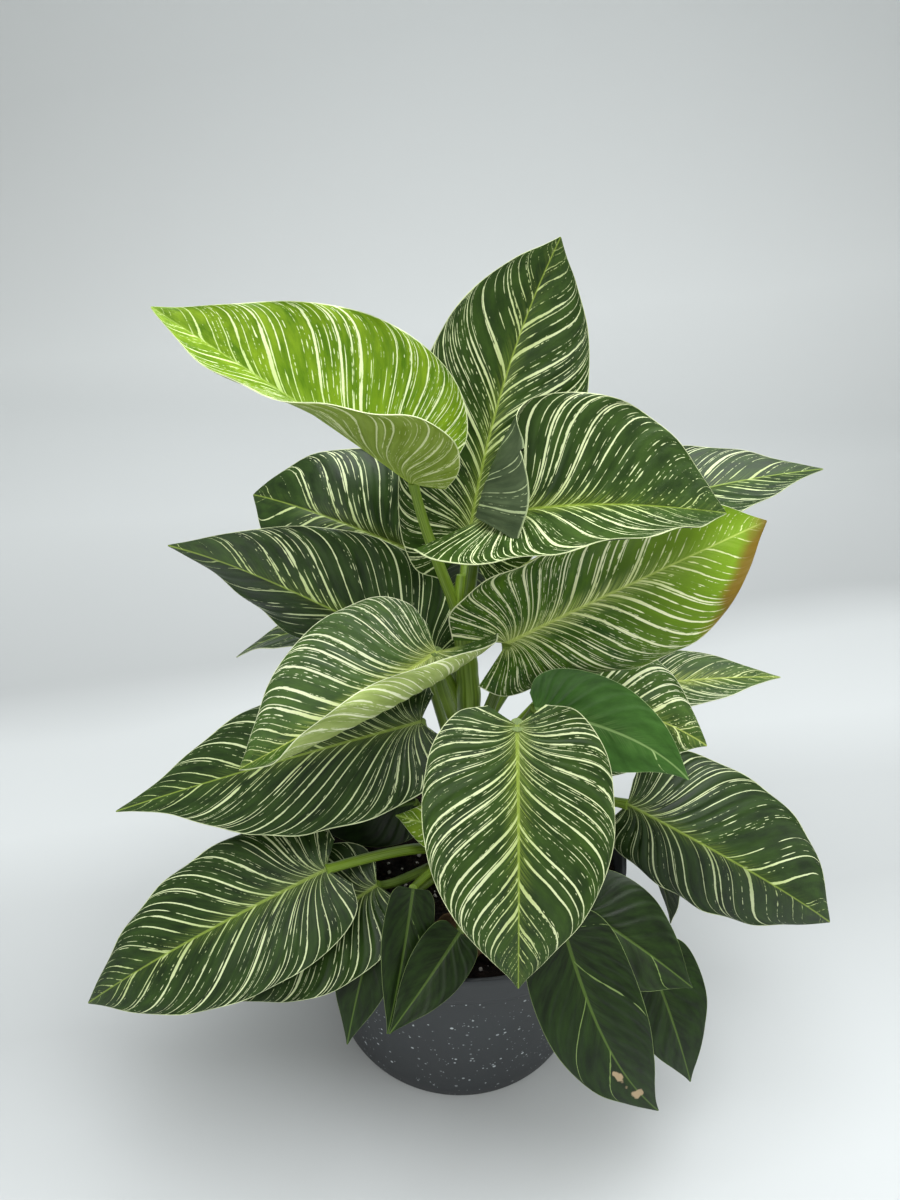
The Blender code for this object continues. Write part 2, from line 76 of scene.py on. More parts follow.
leafShape = {
    "rows": 96, "steps": 20,          # side veins and steps from midrib to margin, on each half
    "thickness": 0.5,                 # mm at the midrib, thinning to the margin
    "marginThickness": 0.3,
    "keelDepth": 0.9, "keelWidth": 1.3,   # the midrib stands out below by this much, mm
    "groove": 0.35,                   # and is sunk above
    "quiltHeight": 0.22, "quiltEvery": 8.5,   # the blade puffs up between main side veins, mm
    "rippleHeight": 0.9, "rippleEvery": 31,   # slow waves of the margin, mm
    "tipHalfWidth": 0.3,
    "veinCrowding": 3.1, "veinAngle": 36,   # most side veins start in the lower half, at about 40 degrees
}
outline = [(0.075, 0.91), (0.25, 1.0), (0.45, 0.93), (0.65, 0.70), (0.82, 0.385), (0.93, 0.145)]
dripTip = [0.0, 0.0, 0.03, 0.14, 0.34, 0.42]

# Midrib ends in mm, widest width, where the upper face looks; bends, folds and curls as in the CAD part,
# except a closer curl on leaf_lime_right and a turned back lobe on leaf_crown_cupped.
leaves = {
    "leaf_crown_upright": {"look": "striped", "base": (-4, 12, 288), "tip": (29, 40, 414), "width": 76,
        "face": (0.15, -1, 0.2), "bow": (0.02, -0.08), "sway": (-0.05, -0.04), "foldRight": (12, 12),
        "foldLeft": (12, 12), "lobes": (0.12, 0.12), "wide": 0.14, "drip": 0,
        "stalk": (262, 0, 8, 9, 2.6, 2.0), "stalkIn": (0.1, -0.1, 1)},
    "leaf_crown_cupped": {"look": "striped", "base": (3, -28, 322), "tip": (97, -21, 323), "width": 86,
        "face": (-0.1, -0.1, 1), "bow": (0.08, 0.05), "foldLeft": (68, 50), "curlLeft": (15, -10),
        "foldRight": (0, 10), "curlRight": (10, 30), "lobes": (0.32, 0.3), "wide": 0.09, "drip": 0.1,
        "turnedLobe": {"angle": 63, "turn": 138, "radius": 5},
        "stalk": (250, 4, 25, 18, 2.8, 2.0), "stalkIn": (0.3, -0.8, 0.6)},
    "leaf_lime_right": {"look": "limeBronze", "base": (14, -22, 259), "tip": (117, -12, 316), "width": 80,
        "face": (-0.2, -1, 0.75), "bow": (0.05, 0.03), "curlLeft": (92, 118), "foldRight": (-5, -5),
        "curlRight": (-95, 0), "lobes": (0.18, 0.18), "wide": 0.1, "drip": 0,
        "stalk": (178, 8, 36, 22, 3.2, 2.1), "stalkIn": (-0.1, -0.3, 1)},
    "leaf_lime_left": {"look": "lime", "base": (-27, -10, 327), "tip": (-120, -20, 396), "width": 92,
        "face": (0.1, -1, 0.6), "bow": (-0.03, 0.03), "sway": (0.02, 0), "curlRight": (20, 0),
        "foldLeft": (100, 45), "curlLeft": (40, 20), "lobes": (0.08, 0.08), "drip": 0.3,
        "stalk": (256, 6, 20, 26, 2.8, 2.0), "stalkIn": (-0.2, 0, 1)},
    "leaf_upper_back_right": {"look": "sparse", "base": (61, 50, 284), "tip": (166, 60, 310), "width": 58,
        "face": (0, -0.35, 1), "bow": (0.08, 0.06), "foldRight": (10, 10), "foldLeft": (10, 10),
        "lobes": (0.08, 0.08), "drip": 0.5, "stalk": (188, 14, 22, 40, 3.6, 2.2), "stalkIn": (0.1, -0.1, 1)},
    "leaf_upper_back_left": {"look": "sparse", "base": (-31, 35, 273), "tip": (-108, 55, 290), "width": 78,
        "face": (0, -0.8, 0.6), "bow": (0.15, 0.25), "foldRight": (10, 10), "foldLeft": (10, 10),
        "curlRight": (-30, -30), "curlLeft": (-30, -30), "lobes": (0.05, 0.05), "wide": 0.04, "drip": 0,
        "stalk": (214, 8, 18, 26, 3.2, 2.1), "stalkIn": (-0.2, -0.2, 1)},
    "leaf_long_left": {"look": "sparse", "base": (-16, -8, 242), "tip": (-134, 0, 290), "width": 78,
        "face": (0.1, -1, 0.8), "bow": (0.05, 0.1), "sway": (-0.02, 0.04), "foldRight": (5, 5),
        "curlRight": (-20, 0), "foldLeft": (-62, -65), "lobes": (0.12, 0.02), "drip": 0.4,
        "stalk": (205, 5, 12, 14, 3.2, 2.2), "stalkIn": (-0.3, -0.2, 0.9), "clear": 5.5},
    "leaf_rolled_left": {"look": "bright", "base": (-16, -40, 266), "tip": (-94, -70, 226), "width": 74,
        "face": (0, -1, 0.8), "bow": (0.06, 0.06), "sway": (-0.03, -0.02), "foldRight": (5, 5),
        "curlRight": (-20, -10), "foldLeft": (10, 60), "curlLeft": (150, 90), "lobes": (0.04, 0.26),
        "wide": 0.07, "drip": 0.4, "stalk": (170, 6, 40, 30, 3.4, 2.2), "stalkIn": (0, -0.3, 0.9)},
    "leaf_wide_left": {"look": "sparse", "base": (-23, -20, 213), "tip": (-168, -30, 161), "width": 84,
        "face": (0, -0.5, 1), "bow": (0.06, -0.06), "sway": (-0.02, 0.04), "foldRight": (5, 5),
        "foldLeft": (5, 5), "curlRight": (-75, 20), "curlLeft": (10, 10), "lobes": (0.06, 0.06), "drip": 0.9,
        "stalk": (160, 6, 24, 22, 3.6, 2.3), "stalkIn": (-0.2, -0.2, 1)},
    "leaf_low_left_front": {"look": "sparse", "base": (-63, -62, 161), "tip": (-178, -78, 83), "width": 70,
        "face": (0, -0.7, 1), "bow": (0.1, 0.12), "foldRight": (3, 3), "foldLeft": (3, 3),
        "curlRight": (-30, -10), "curlLeft": (-30, -10), "lobes": (0.06, 0.06), "wide": 0.03, "drip": 0.3,
        "stalk": (118, 18, 24, 26, 3.2, 2.2), "stalkIn": (-0.9, -0.5, 0.1)},
    "leaf_low_left_second": {"look": "sparse", "base": (-41, -56, 145), "tip": (-113, -78, 87), "width": 60,
        "face": (-0.1, -0.6, 1), "bow": (0.1, 0.05), "foldRight": (5, 5), "foldLeft": (5, 5),
        "lobes": (0.05, 0.05), "stalk": (118, 14, 12, 16, 3.0, 2.0), "stalkIn": (-0.5, -0.5, 0.7)},
    "leaf_low_left_hanging": {"look": "plain", "base": (-40, -68, 136), "tip": (-52, -97, 86), "width": 30,
        "face": (-0.45, -1, 0.3), "bow": (0.05, 0.05), "foldRight": (5, 5), "foldLeft": (5, 5),
        "lobes": (0, 0), "stalk": (112, 14, 16, 14, 2.6, 1.7), "stalkIn": (-0.3, -0.7, 0.7)},
    "leaf_low_inner": {"look": "plain", "base": (-24, -60, 148), "tip": (-33, -103, 104), "width": 24,
        "face": (0.3, -1, 0.3), "bow": (0.05, 0.05), "foldRight": (5, 5), "foldLeft": (5, 5), "lobes": (0, 0),
        "stalk": (122, 12, 16, 14, 2.6, 1.7), "stalkIn": (0.2, -0.5, 0.8)},
    "leaf_low_front": {"look": "plain", "base": (-2, -72, 134), "tip": (-32, -105, 107), "width": 27,
        "face": (0, -1, 0.6), "bow": (0.05, 0.05), "foldRight": (5, 5), "foldLeft": (5, 5), "lobes": (0, 0),
        "stalk": (112, 16, 14, 14, 2.6, 1.7), "stalkIn": (0, -0.6, 0.8)},
    "leaf_front_heart": {"look": "striped", "base": (16, -75, 257), "tip": (21, -115, 155), "width": 74,
        "face": (0, -1, 0.5), "bow": (0.08, 0.06), "foldRight": (5, 15), "foldLeft": (5, 15),
        "curlRight": (-25, 10), "curlLeft": (-25, 10), "lobes": (0.07, 0.07), "wide": 0.05, "drip": 0.45,
        "stalk": (140, 20, 60, 34, 3.8, 2.4), "stalkIn": (0, -0.5, 0.9)},
    "leaf_mid_right": {"look": "bright", "base": (34, -5, 218), "tip": (110, -20, 204), "width": 70,
        "face": (0, -0.8, 0.7), "bow": (0.2, 0.2), "sway": (-0.06, -0.08), "curlRight": (-20, -20),
        "curlLeft": (-20, -20), "lobes": (0.05, 0.05), "drip": 0.2, "stalk": (168, 10, 16, 20, 3.4, 2.2),
        "stalkIn": (0.4, -0.3, 0.9)},
    "leaf_plain_right": {"look": "plainMid", "base": (27, -36, 235), "tip": (95, -48, 208), "width": 42,
        "face": (0, -1, 0.5), "bow": (0.05, 0.1), "sway": (-0.08, -0.14), "curlRight": (-10, -10),
        "curlLeft": (-10, -10), "lobes": (0.05, 0.05), "stalk": (150, 8, 30, 22, 3.0, 2.0),
        "stalkIn": (0.2, -0.4, 0.9)},
    "leaf_mid_back_right": {"look": "bright", "base": (75, 40, 190), "tip": (165, 45, 198), "width": 38,
        "face": (0, -0.4, 1), "bow": (0.06, 0.06), "foldRight": (10, 10), "foldLeft": (10, 10),
        "lobes": (0.05, 0.05), "drip": 0.5, "stalk": (136, 16, 20, 28, 3.2, 2.0),
        "stalkIn": (0.4, -0.1, 0.9)},
    "leaf_low_right": {"look": "sparse", "base": (78, -20, 166), "tip": (183, -40, 110), "width": 82,
        "face": (0.1, -0.8, 0.8), "bow": (0.1, 0.15), "foldRight": (-55, -40), "curlRight": (-10, -10),
        "curlLeft": (-10, -10), "lobes": (0.02, 0.02), "wide": 0.12, "drip": 0,
        "stalk": (132, 26, 26, 26, 3.6, 2.3), "stalkIn": (0.8, -0.5, 0.2), "clear": 2.5},
    "leaf_hanging_right": {"look": "striped", "base": (88, 2, 127), "tip": (118, -4, 62), "width": 42,
        "face": (1, 0.4, 0.3), "bow": (0.1, 0.1), "foldRight": (5, 5), "foldLeft": (5, 5),
        "lobes": (0.02, 0.02), "stalk": (112, 24, 20, 22, 2.8, 1.9), "stalkIn": (0.9, 0.2, -0.3)},
    "leaf_low_right_upper": {"look": "plain", "base": (49, -66, 148), "tip": (104, -84, 116), "width": 46,
        "face": (0.2, -0.7, 0.8), "bow": (0.15, 0.12), "foldRight": (5, 5), "foldLeft": (5, 5),
        "lobes": (0.02, 0.02), "stalk": (122, 20, 20, 24, 3.0, 1.9), "stalkIn": (0.4, -0.5, 0.7)},
    "leaf_low_right_front": {"look": "plainScarred", "base": (41, -88, 160), "tip": (88, -118, 77),
        "width": 45, "face": (0, -1, 0.5), "bow": (0.08, 0.08), "sway": (0.06, 0.1), "foldRight": (5, 5),
        "foldLeft": (5, 5), "lobes": (0.04, 0.04), "wide": 0.08, "stalk": (116, 22, 22, 26, 3.0, 1.9),
        "stalkIn": (0, -0.6, 0.8)},
    "leaf_low_right_back": {"look": "plain", "base": (87, -62, 113), "tip": (113, -88, 50), "width": 42,
        "face": (0.3, -1, 0.4), "bow": (0.08, 0.08), "foldRight": (5, 5), "foldLeft": (5, 5),
        "lobes": (0.02, 0.02), "stalk": (110, 22, 44, 30, 2.8, 1.8), "stalkIn": (0.3, -0.7, -0.6)},
    "leaf_inner_dark": {"look": "plain", "base": (-26, 2, 142), "tip": (-84, 0, 128), "width": 38,
        "face": (0, -0.8, 0.6), "bow": (0.1, 0.1), "foldRight": (5, 5), "foldLeft": (5, 5),
        "lobes": (0.02, 0.02), "stalk": (112, 4, 10, 8, 2.6, 1.8), "stalkIn": (-0.4, -0.3, 0.9)},
    "leaf_inner_lime": {"look": "lime", "base": (-5, -27, 151), "tip": (-34, -28, 162), "width": 24,
        "face": (0, -0.7, 0.8), "bow": (0.1, 0.1), "foldRight": (5, 5), "foldLeft": (5, 5),
        "lobes": (0.02, 0.02), "stalk": (122, 4, 10, 10, 2.2, 1.6), "stalkIn": (0.1, -0.2, 1)},
    "leaf_far_left": {"look": "sparse", "base": (-26, 45, 209), "tip": (-127, 60, 190), "width": 50,
        "face": (0, 0, 1), "bow": (0.2, 0.2), "foldRight": (5, 5), "foldLeft": (5, 5), "lobes": (0.02, 0.02),
        "stalk": (150, 12, 20, 22, 3.0, 2.0), "stalkIn": (-0.3, 0, 1)},
    "leaf_back_pale": {"look": "striped", "base": (-4, 32, 274), "tip": (0, 80, 188), "width": 38,
        "face": (0, 1, 0.5), "bow": (0.1, 0.1), "foldRight": (5, 5), "foldLeft": (5, 5),
        "lobes": (0.05, 0.05),
        "stalk": (196, 8, 30, 18, 3.0, 2.0), "stalkIn": (0, 0.3, 0.9)},}
leafDefaults = {"bow": (0, 0), "sway": (0, 0), "foldRight": (0, 0), "foldLeft": (0, 0), "curlRight": (0, 0),
                "curlLeft": (0, 0), "wide": 0.0, "drip": 0.4, "clear": 0.6}
stemPoints = [(1, -12, 98, 8.5), (1, -11, 130, 7.5), (0, -10, 170, 6.6), (-1, -9, 219, 5.6),
              (-4, -8, 250, 4.6), (-6, -7, 272, 3.6), (-6, -4, 282, 2.6)]


def unit(vectors):
    vectors = np.asarray(vectors, float)
    return vectors / np.linalg.norm(vectors, axis=-1, keepdims=True)


def bezier(controls, share):
    a, b, c, d = (np.asarray(p, float) for p in controls)
    u = np.asarray(share, float)[..., None]
    points = (1 - u) ** 3 * a + 3 * (1 - u) ** 2 * u * b + 3 * (1 - u) * u**2 * c + u**3 * d
    slopes = (1 - u) ** 2 * (b - a) + 2 * (1 - u) * u * (c - b) + u**2 * (d - c)
    return points, unit(slopes)


def spline(points, count):
    # count + 1 points evenly spaced along a Catmull-Rom curve
    p = np.asarray(points, float)
    p = np.vstack([2 * p[0] - p[1], p, 2 * p[-1] - p[-2]])
    dense = []
    for i in range(1, len(p) - 2):
        u = np.linspace(0, 1, 24, endpoint=False)[:, None]
        a, b, c, d = p[i - 1:i + 3]
        dense.append(0.5 * (2 * b + (c - a) * u + (2 * a - 5 * b + 4 * c - d) * u**2
                            + (3 * b - a - 3 * c + d) * u**3))
    dense = np.vstack([*dense, p[-2]])
    run = np.concatenate([[0], np.cumsum(np.linalg.norm(np.diff(dense, axis=0), axis=1))])
    wanted = np.linspace(0, run[-1], count + 1)
    return np.stack([np.interp(wanted, run, dense[:, k]) for k in range(p.shape[1])], axis=1), run[-1]


def meshObject(name, points, faces, materials, slots=None):
    mesh = bpy.data.meshes.new(name)
    mesh.from_pydata([tuple(map(float, p)) for p in points], [], faces)
    obj = bpy.data.objects.new(name, mesh)
    bpy.context.scene.collection.objects.link(obj)
    for made in materials:
        mesh.materials.append(made)
    if slots is not None:
        mesh.polygons.foreach_set("material_index", np.asarray(slots, np.int32))
    mesh.shade_smooth()
    mesh.update()
    return obj


def leafFrame(values):
    base = np.array(values["base"], float)
    tip = np.array(values["tip"], float)
    length = float(np.linalg.norm(tip - base))
    along = unit(tip - base)
    face = np.array(values["face"], float)
    up = unit(face - along * np.dot(face, along))
    right = np.cross(along, up)
    controls = [base]
    for k in range(2):
        step = along * (k + 1) / 3 + up * values["bow"][k] + right * values["sway"][k]
        controls.append(base + step * length)
    controls.append(tip)
    return controls, up, length


def flatHalf(values, length, lobe):
    # flat (length, width) coordinates of half a blade in mm, a row per side vein
    half = values["width"] / 2
    margin = [(-lobe * length, 0.30 * half), (-0.62 * lobe * length, 0.64 * half)]
    for (x, y), narrowing in zip(outline, dripTip):
        x += values["wide"] * math.sin(math.pi * x)
        margin.append((x * length, y * (1 - values["drip"] * narrowing) * half))
    margin.append((length, leafShape["tipHalfWidth"]))
    rows, steps = leafShape["rows"], leafShape["steps"]
    margin, run = spline(margin, rows)
    share = np.linspace(0, 1, rows + 1)
    s = np.linspace(0, 1, steps + 1)
    # each side vein leaves the midrib at a slant, sweeps forward and nears the margin almost along it
    first = np.stack([length * share**leafShape["veinCrowding"], 0 * share], axis=-1)
    chord = margin - first
    reach = np.linalg.norm(chord, axis=1)
    straight = np.arctan2(chord[:, 1], chord[:, 0])
    edge = np.gradient(margin, axis=0)
    blend = np.clip(share / 0.3, 0, 1)
    blend = blend * blend * (3 - 2 * blend)
    leave = (1 - blend) * straight + blend * np.radians(leafShape["veinAngle"] - 12 * share)
    arrive = (1 - blend) * straight + blend * (np.arctan2(edge[:, 1], edge[:, 0]) + math.radians(12))
    pull = 0.36 * reach
    second = first + np.stack([np.cos(leave), np.sin(leave)], axis=-1) * pull[:, None]
    third = margin - np.stack([np.cos(arrive), np.sin(arrive)], axis=-1) * pull[:, None]
    t = s[None, :, None]
    grid = ((1 - t) ** 3 * first[:, None] + 3 * (1 - t) ** 2 * t * second[:, None]
            + 3 * (1 - t) * t**2 * third[:, None] + t**3 * margin[:, None])
    grid[..., 1] = np.maximum(grid[..., 1], 0)
    return grid, run, s


def bladeSurface(values, controls, up, length, grid, side):
    x, y = grid[..., 0], grid[..., 1]
    half = values["width"] / 2
    share = np.clip(x / length, 0, 1)
    spine, tangent = bezier(controls, share)
    spine = spine + tangent * np.minimum(x, 0)[..., None]
    normal = unit(up - tangent * np.sum(up * tangent, axis=-1, keepdims=True))
    across = np.cross(tangent, normal)
    name = "Right" if side > 0 else "Left"
    fold, curl = values["fold" + name], values["curl" + name]
    start = np.radians(fold[0] + (fold[1] - fold[0]) * share)
    turn = np.radians(curl[0] + (curl[1] - curl[0]) * share)
    turn = np.where(np.abs(turn) < 1e-4, 1e-4, turn)
    out = y / half
    sideways = half / turn * (np.sin(start + turn * out) - np.sin(start))
    upwards = half / turn * (np.cos(start) - np.cos(start + turn * out))
    return spine + across * (side * sideways)[..., None] + normal * upwards[..., None]


def turnLobe(fold, grid):
    # rolls the part of a half blade behind a line through the base up over the rest; the line is fold's angle
    # from the midrib, and the roll ends at its turn
    if not fold:
        return grid, None
    line = math.radians(fold["angle"])
    ahead = np.array([math.cos(line), math.sin(line)])
    behind = np.array([-math.sin(line), math.cos(line)])
    along, past = grid @ ahead, grid @ behind
    radius, most = fold["radius"], math.radians(fold["turn"])
    angle = np.clip(past / radius, 0, most)
    straight = np.maximum(past - radius * most, 0)
    flat = np.where(past > 0, radius * np.sin(angle) + straight * math.cos(most), past)
    height = np.where(past > 0, radius * (1 - np.cos(angle)) + straight * math.sin(most), 0)
    return along[..., None] * ahead + flat[..., None] * behind, height


def gridNormals(points, side):
    across = np.gradient(points, axis=1)
    down = np.gradient(points, axis=0)
    return unit(np.cross(across, down) * side + 1e-12)


def makeLeaf(name, values, materials):
    # both faces of the blade, each half a grid of side veins, closed round the margin
    controls, up, length = leafFrame(values)
    shape = leafShape
    chance = random.Random(name)
    points, faces, slots, veins, flat = [], [], [], [], []
    rows, steps = shape["rows"], shape["steps"]
    phase = chance.uniform(0, 6.28)
    halves = []
    for side, lobe in zip((1, -1), values["lobes"]):
        grid, run, s = flatHalf(values, length, lobe)
        turned, height = turnLobe(values.get("turnedLobe") if side < 0 else None, grid)
        surface = bladeSurface(values, controls, up, length, turned, side)
        if values.get("turnedLobe") and side < 0:
            surface = surface + gridNormals(bladeSurface(values, controls, up, length, grid, side),
                                            side) * height[..., None]
        halves.append((side, grid, run, s, surface, gridNormals(surface, side)))
    shared = unit(halves[0][5][:, 0] + halves[1][5][:, 0])
    for side, grid, run, s, surface, normals in halves:
        normals[:, 0] = shared
        row = np.linspace(0, run, rows + 1)[:, None]
        y = grid[..., 1]
        out = s[None, :]
        scale = min(1.0, values["width"] / 70)
        quilt = shape["quiltHeight"] * scale * np.sin(2 * math.pi * row / shape["quiltEvery"] + phase)
        ripple = (shape["rippleHeight"] * scale
                  * np.sin(2 * math.pi * row / shape["rippleEvery"] + phase * 2 + side))
        fade = np.sin(math.pi * np.linspace(0, 1, rows + 1))[:, None] ** 0.7
        lift = quilt * 4 * out * (1 - out) * fade + ripple * out**3 * fade
        lift = lift - shape["groove"] * np.exp(-(y / 1.1) ** 2) * fade
        rib = (shape["keelDepth"] * np.exp(-(y / shape["keelWidth"]) ** 2)
               * (1 - 0.85 * np.clip(grid[..., 0] / length, 0, 1)))
        rib = rib * np.clip(fade * 2, 0, 1)
        thick = shape["thickness"] + (shape["marginThickness"] - shape["thickness"]) * out**4
        top = surface + normals * (lift + thick / 2)[..., None]
        under = surface + normals * (lift + 0.6 * shape["groove"] * np.exp(-(y / 1.1) ** 2) * fade
                                     - thick / 2 - rib)[..., None]
        offset = 1000 * (side < 0) + chance.uniform(0, 400)
        for layer, sheet in enumerate((top, under)):
            first = len(points)
            points.extend(sheet.reshape(-1, 3) * mm)
            veins.extend(np.stack([row + offset + 0 * y, out + 0 * y], axis=-1).reshape(-1, 2))
            flat.extend(np.stack([grid[..., 0] / length, side * y / 100 + 0.5], axis=-1).reshape(-1, 2))
            index = first + np.arange((rows + 1) * (steps + 1)).reshape(rows + 1, steps + 1)
            flip = (side > 0) == (layer == 0)
            for a, b, c, d in zip(index[:-1, :-1].ravel(), index[:-1, 1:].ravel(), index[1:, 1:].ravel(),
                                  index[1:, :-1].ravel()):
                faces.append((a, b, c, d) if flip else (d, c, b, a))
                slots.append(layer)
            if layer == 0:
                upper = index
                continue
            # the rim joins the two sheets along the margin and along the basal sinus
            for edge in (list(zip(upper[:, -1], index[:, -1])), list(zip(upper[0, :], index[0, :]))[::-1],
                         list(zip(upper[-1, :], index[-1, :]))):
                for (a, b), (c, d) in zip(edge[:-1], edge[1:]):
                    faces.append((a, b, d, c) if side > 0 else (c, d, b, a))
                    slots.append(0)
    leaf = meshObject(name, points, [tuple(int(v) for v in f) for f in faces], materials, slots)
    mesh = leaf.data
    corners = np.zeros(len(mesh.loops), np.int32)
    mesh.loops.foreach_get("vertex_index", corners)
    for title, places in (("flat", flat), ("veins", veins)):
        layer = mesh.uv_layers.new(name=title)
        layer.uv.foreach_set("vector", np.asarray(places, np.float32)[corners].ravel())
    mesh.set_sharp_from_angle(angle=math.radians(60))
    return leaf

# One entry per kind of leaf. The colours are of the living tissue; stripes are where the blade grew without
# chlorophyll, so they are cream and follow the side veins.
leafLooks = {
    "striped": {"dark": "#20350c", "light": "#385317", "stripe": "#dae4b0", "rib": "#a2b84a",
                "bold": 0.8, "medium": 0.62, "fine": 0.5, "glow": 0.55},
    "sparse": {"dark": "#182a0b", "light": "#2f4816", "stripe": "#d3deac", "rib": "#93aa46",
               "bold": 0.62, "medium": 0.42, "fine": 0.22, "glow": 0.3},
    "bright": {"dark": "#2a450f", "light": "#466520", "stripe": "#e9f0c6", "rib": "#c3d367",
               "bold": 0.8, "medium": 0.75, "fine": 0.55, "glow": 0.9},
    "lime": {"dark": "#4f7404", "light": "#84a319", "stripe": "#eaf2c2", "rib": "#bcd66a",
             "bold": 0.72, "medium": 0.85, "fine": 0.7, "glow": 0.3},
    "limeBronze": {"dark": "#294a08", "light": "#4f730f", "stripe": "#eef3c4", "rib": "#c6d96c",
                   "bold": 0.85, "medium": 0.7, "fine": 0.5, "glow": 0.8},
    "plain": {"dark": "#101e06", "light": "#21380b", "stripe": "#7d9158", "rib": "#5f7a34",
              "bold": 0.04, "medium": 0.02, "fine": 0.0, "glow": 0.1},
    "plainMid": {"dark": "#31571b", "light": "#44702a", "stripe": "#a9c184", "rib": "#9dbd74",
                 "bold": 0.05, "medium": 0.03, "fine": 0.0, "glow": 0.2},
}
undersideLooks = {
    "striped": {"dark": "#34422a", "light": "#4a583b", "stripe": "#98a67c", "rib": "#8fa05c", "share": 0.3},
    "sparse": {"dark": "#3a4830", "light": "#505e42", "stripe": "#98a67c", "rib": "#8fa05c", "share": 0.3},
    "bright": {"dark": "#8a9d50", "light": "#a9ba70", "stripe": "#e2e9c0", "rib": "#d0dc98", "share": 1.2},
    "lime": {"dark": "#7c9330", "light": "#98ad50", "stripe": "#dfe7b0", "rib": "#a9c04e", "share": 1.15},
    "limeBronze": {"dark": "#8ba045", "light": "#a9ba66", "stripe": "#dfe6b4", "rib": "#b5c763",
                   "share": 0.8},
    "plain": {"dark": "#5d6e50", "light": "#83917c", "stripe": "#9dab8c", "rib": "#93a372", "share": 0.2},
    "plainMid": {"dark": "#6d8755", "light": "#86a06c", "stripe": "#a9c184", "rib": "#9dbd74", "share": 0.2},
}
# Stripes come in three widths, in mm along the margin. The finest are about as wide as the thinnest
# streaks of real variegation, 0.2 to 0.4 mm, and broken into dashes.
stripeLayers = {
    "bold": {"every": 9.0, "width": 0.4, "dash": 2.6, "broken": 0.2, "wander": 1.3},
    "medium": {"every": 3.2, "width": 0.16, "dash": 5.0, "broken": 0.31, "wander": 0.8},
    "fine": {"every": 1.5, "width": 0.08, "dash": 14.0, "broken": 0.42, "wander": 0.4},
}


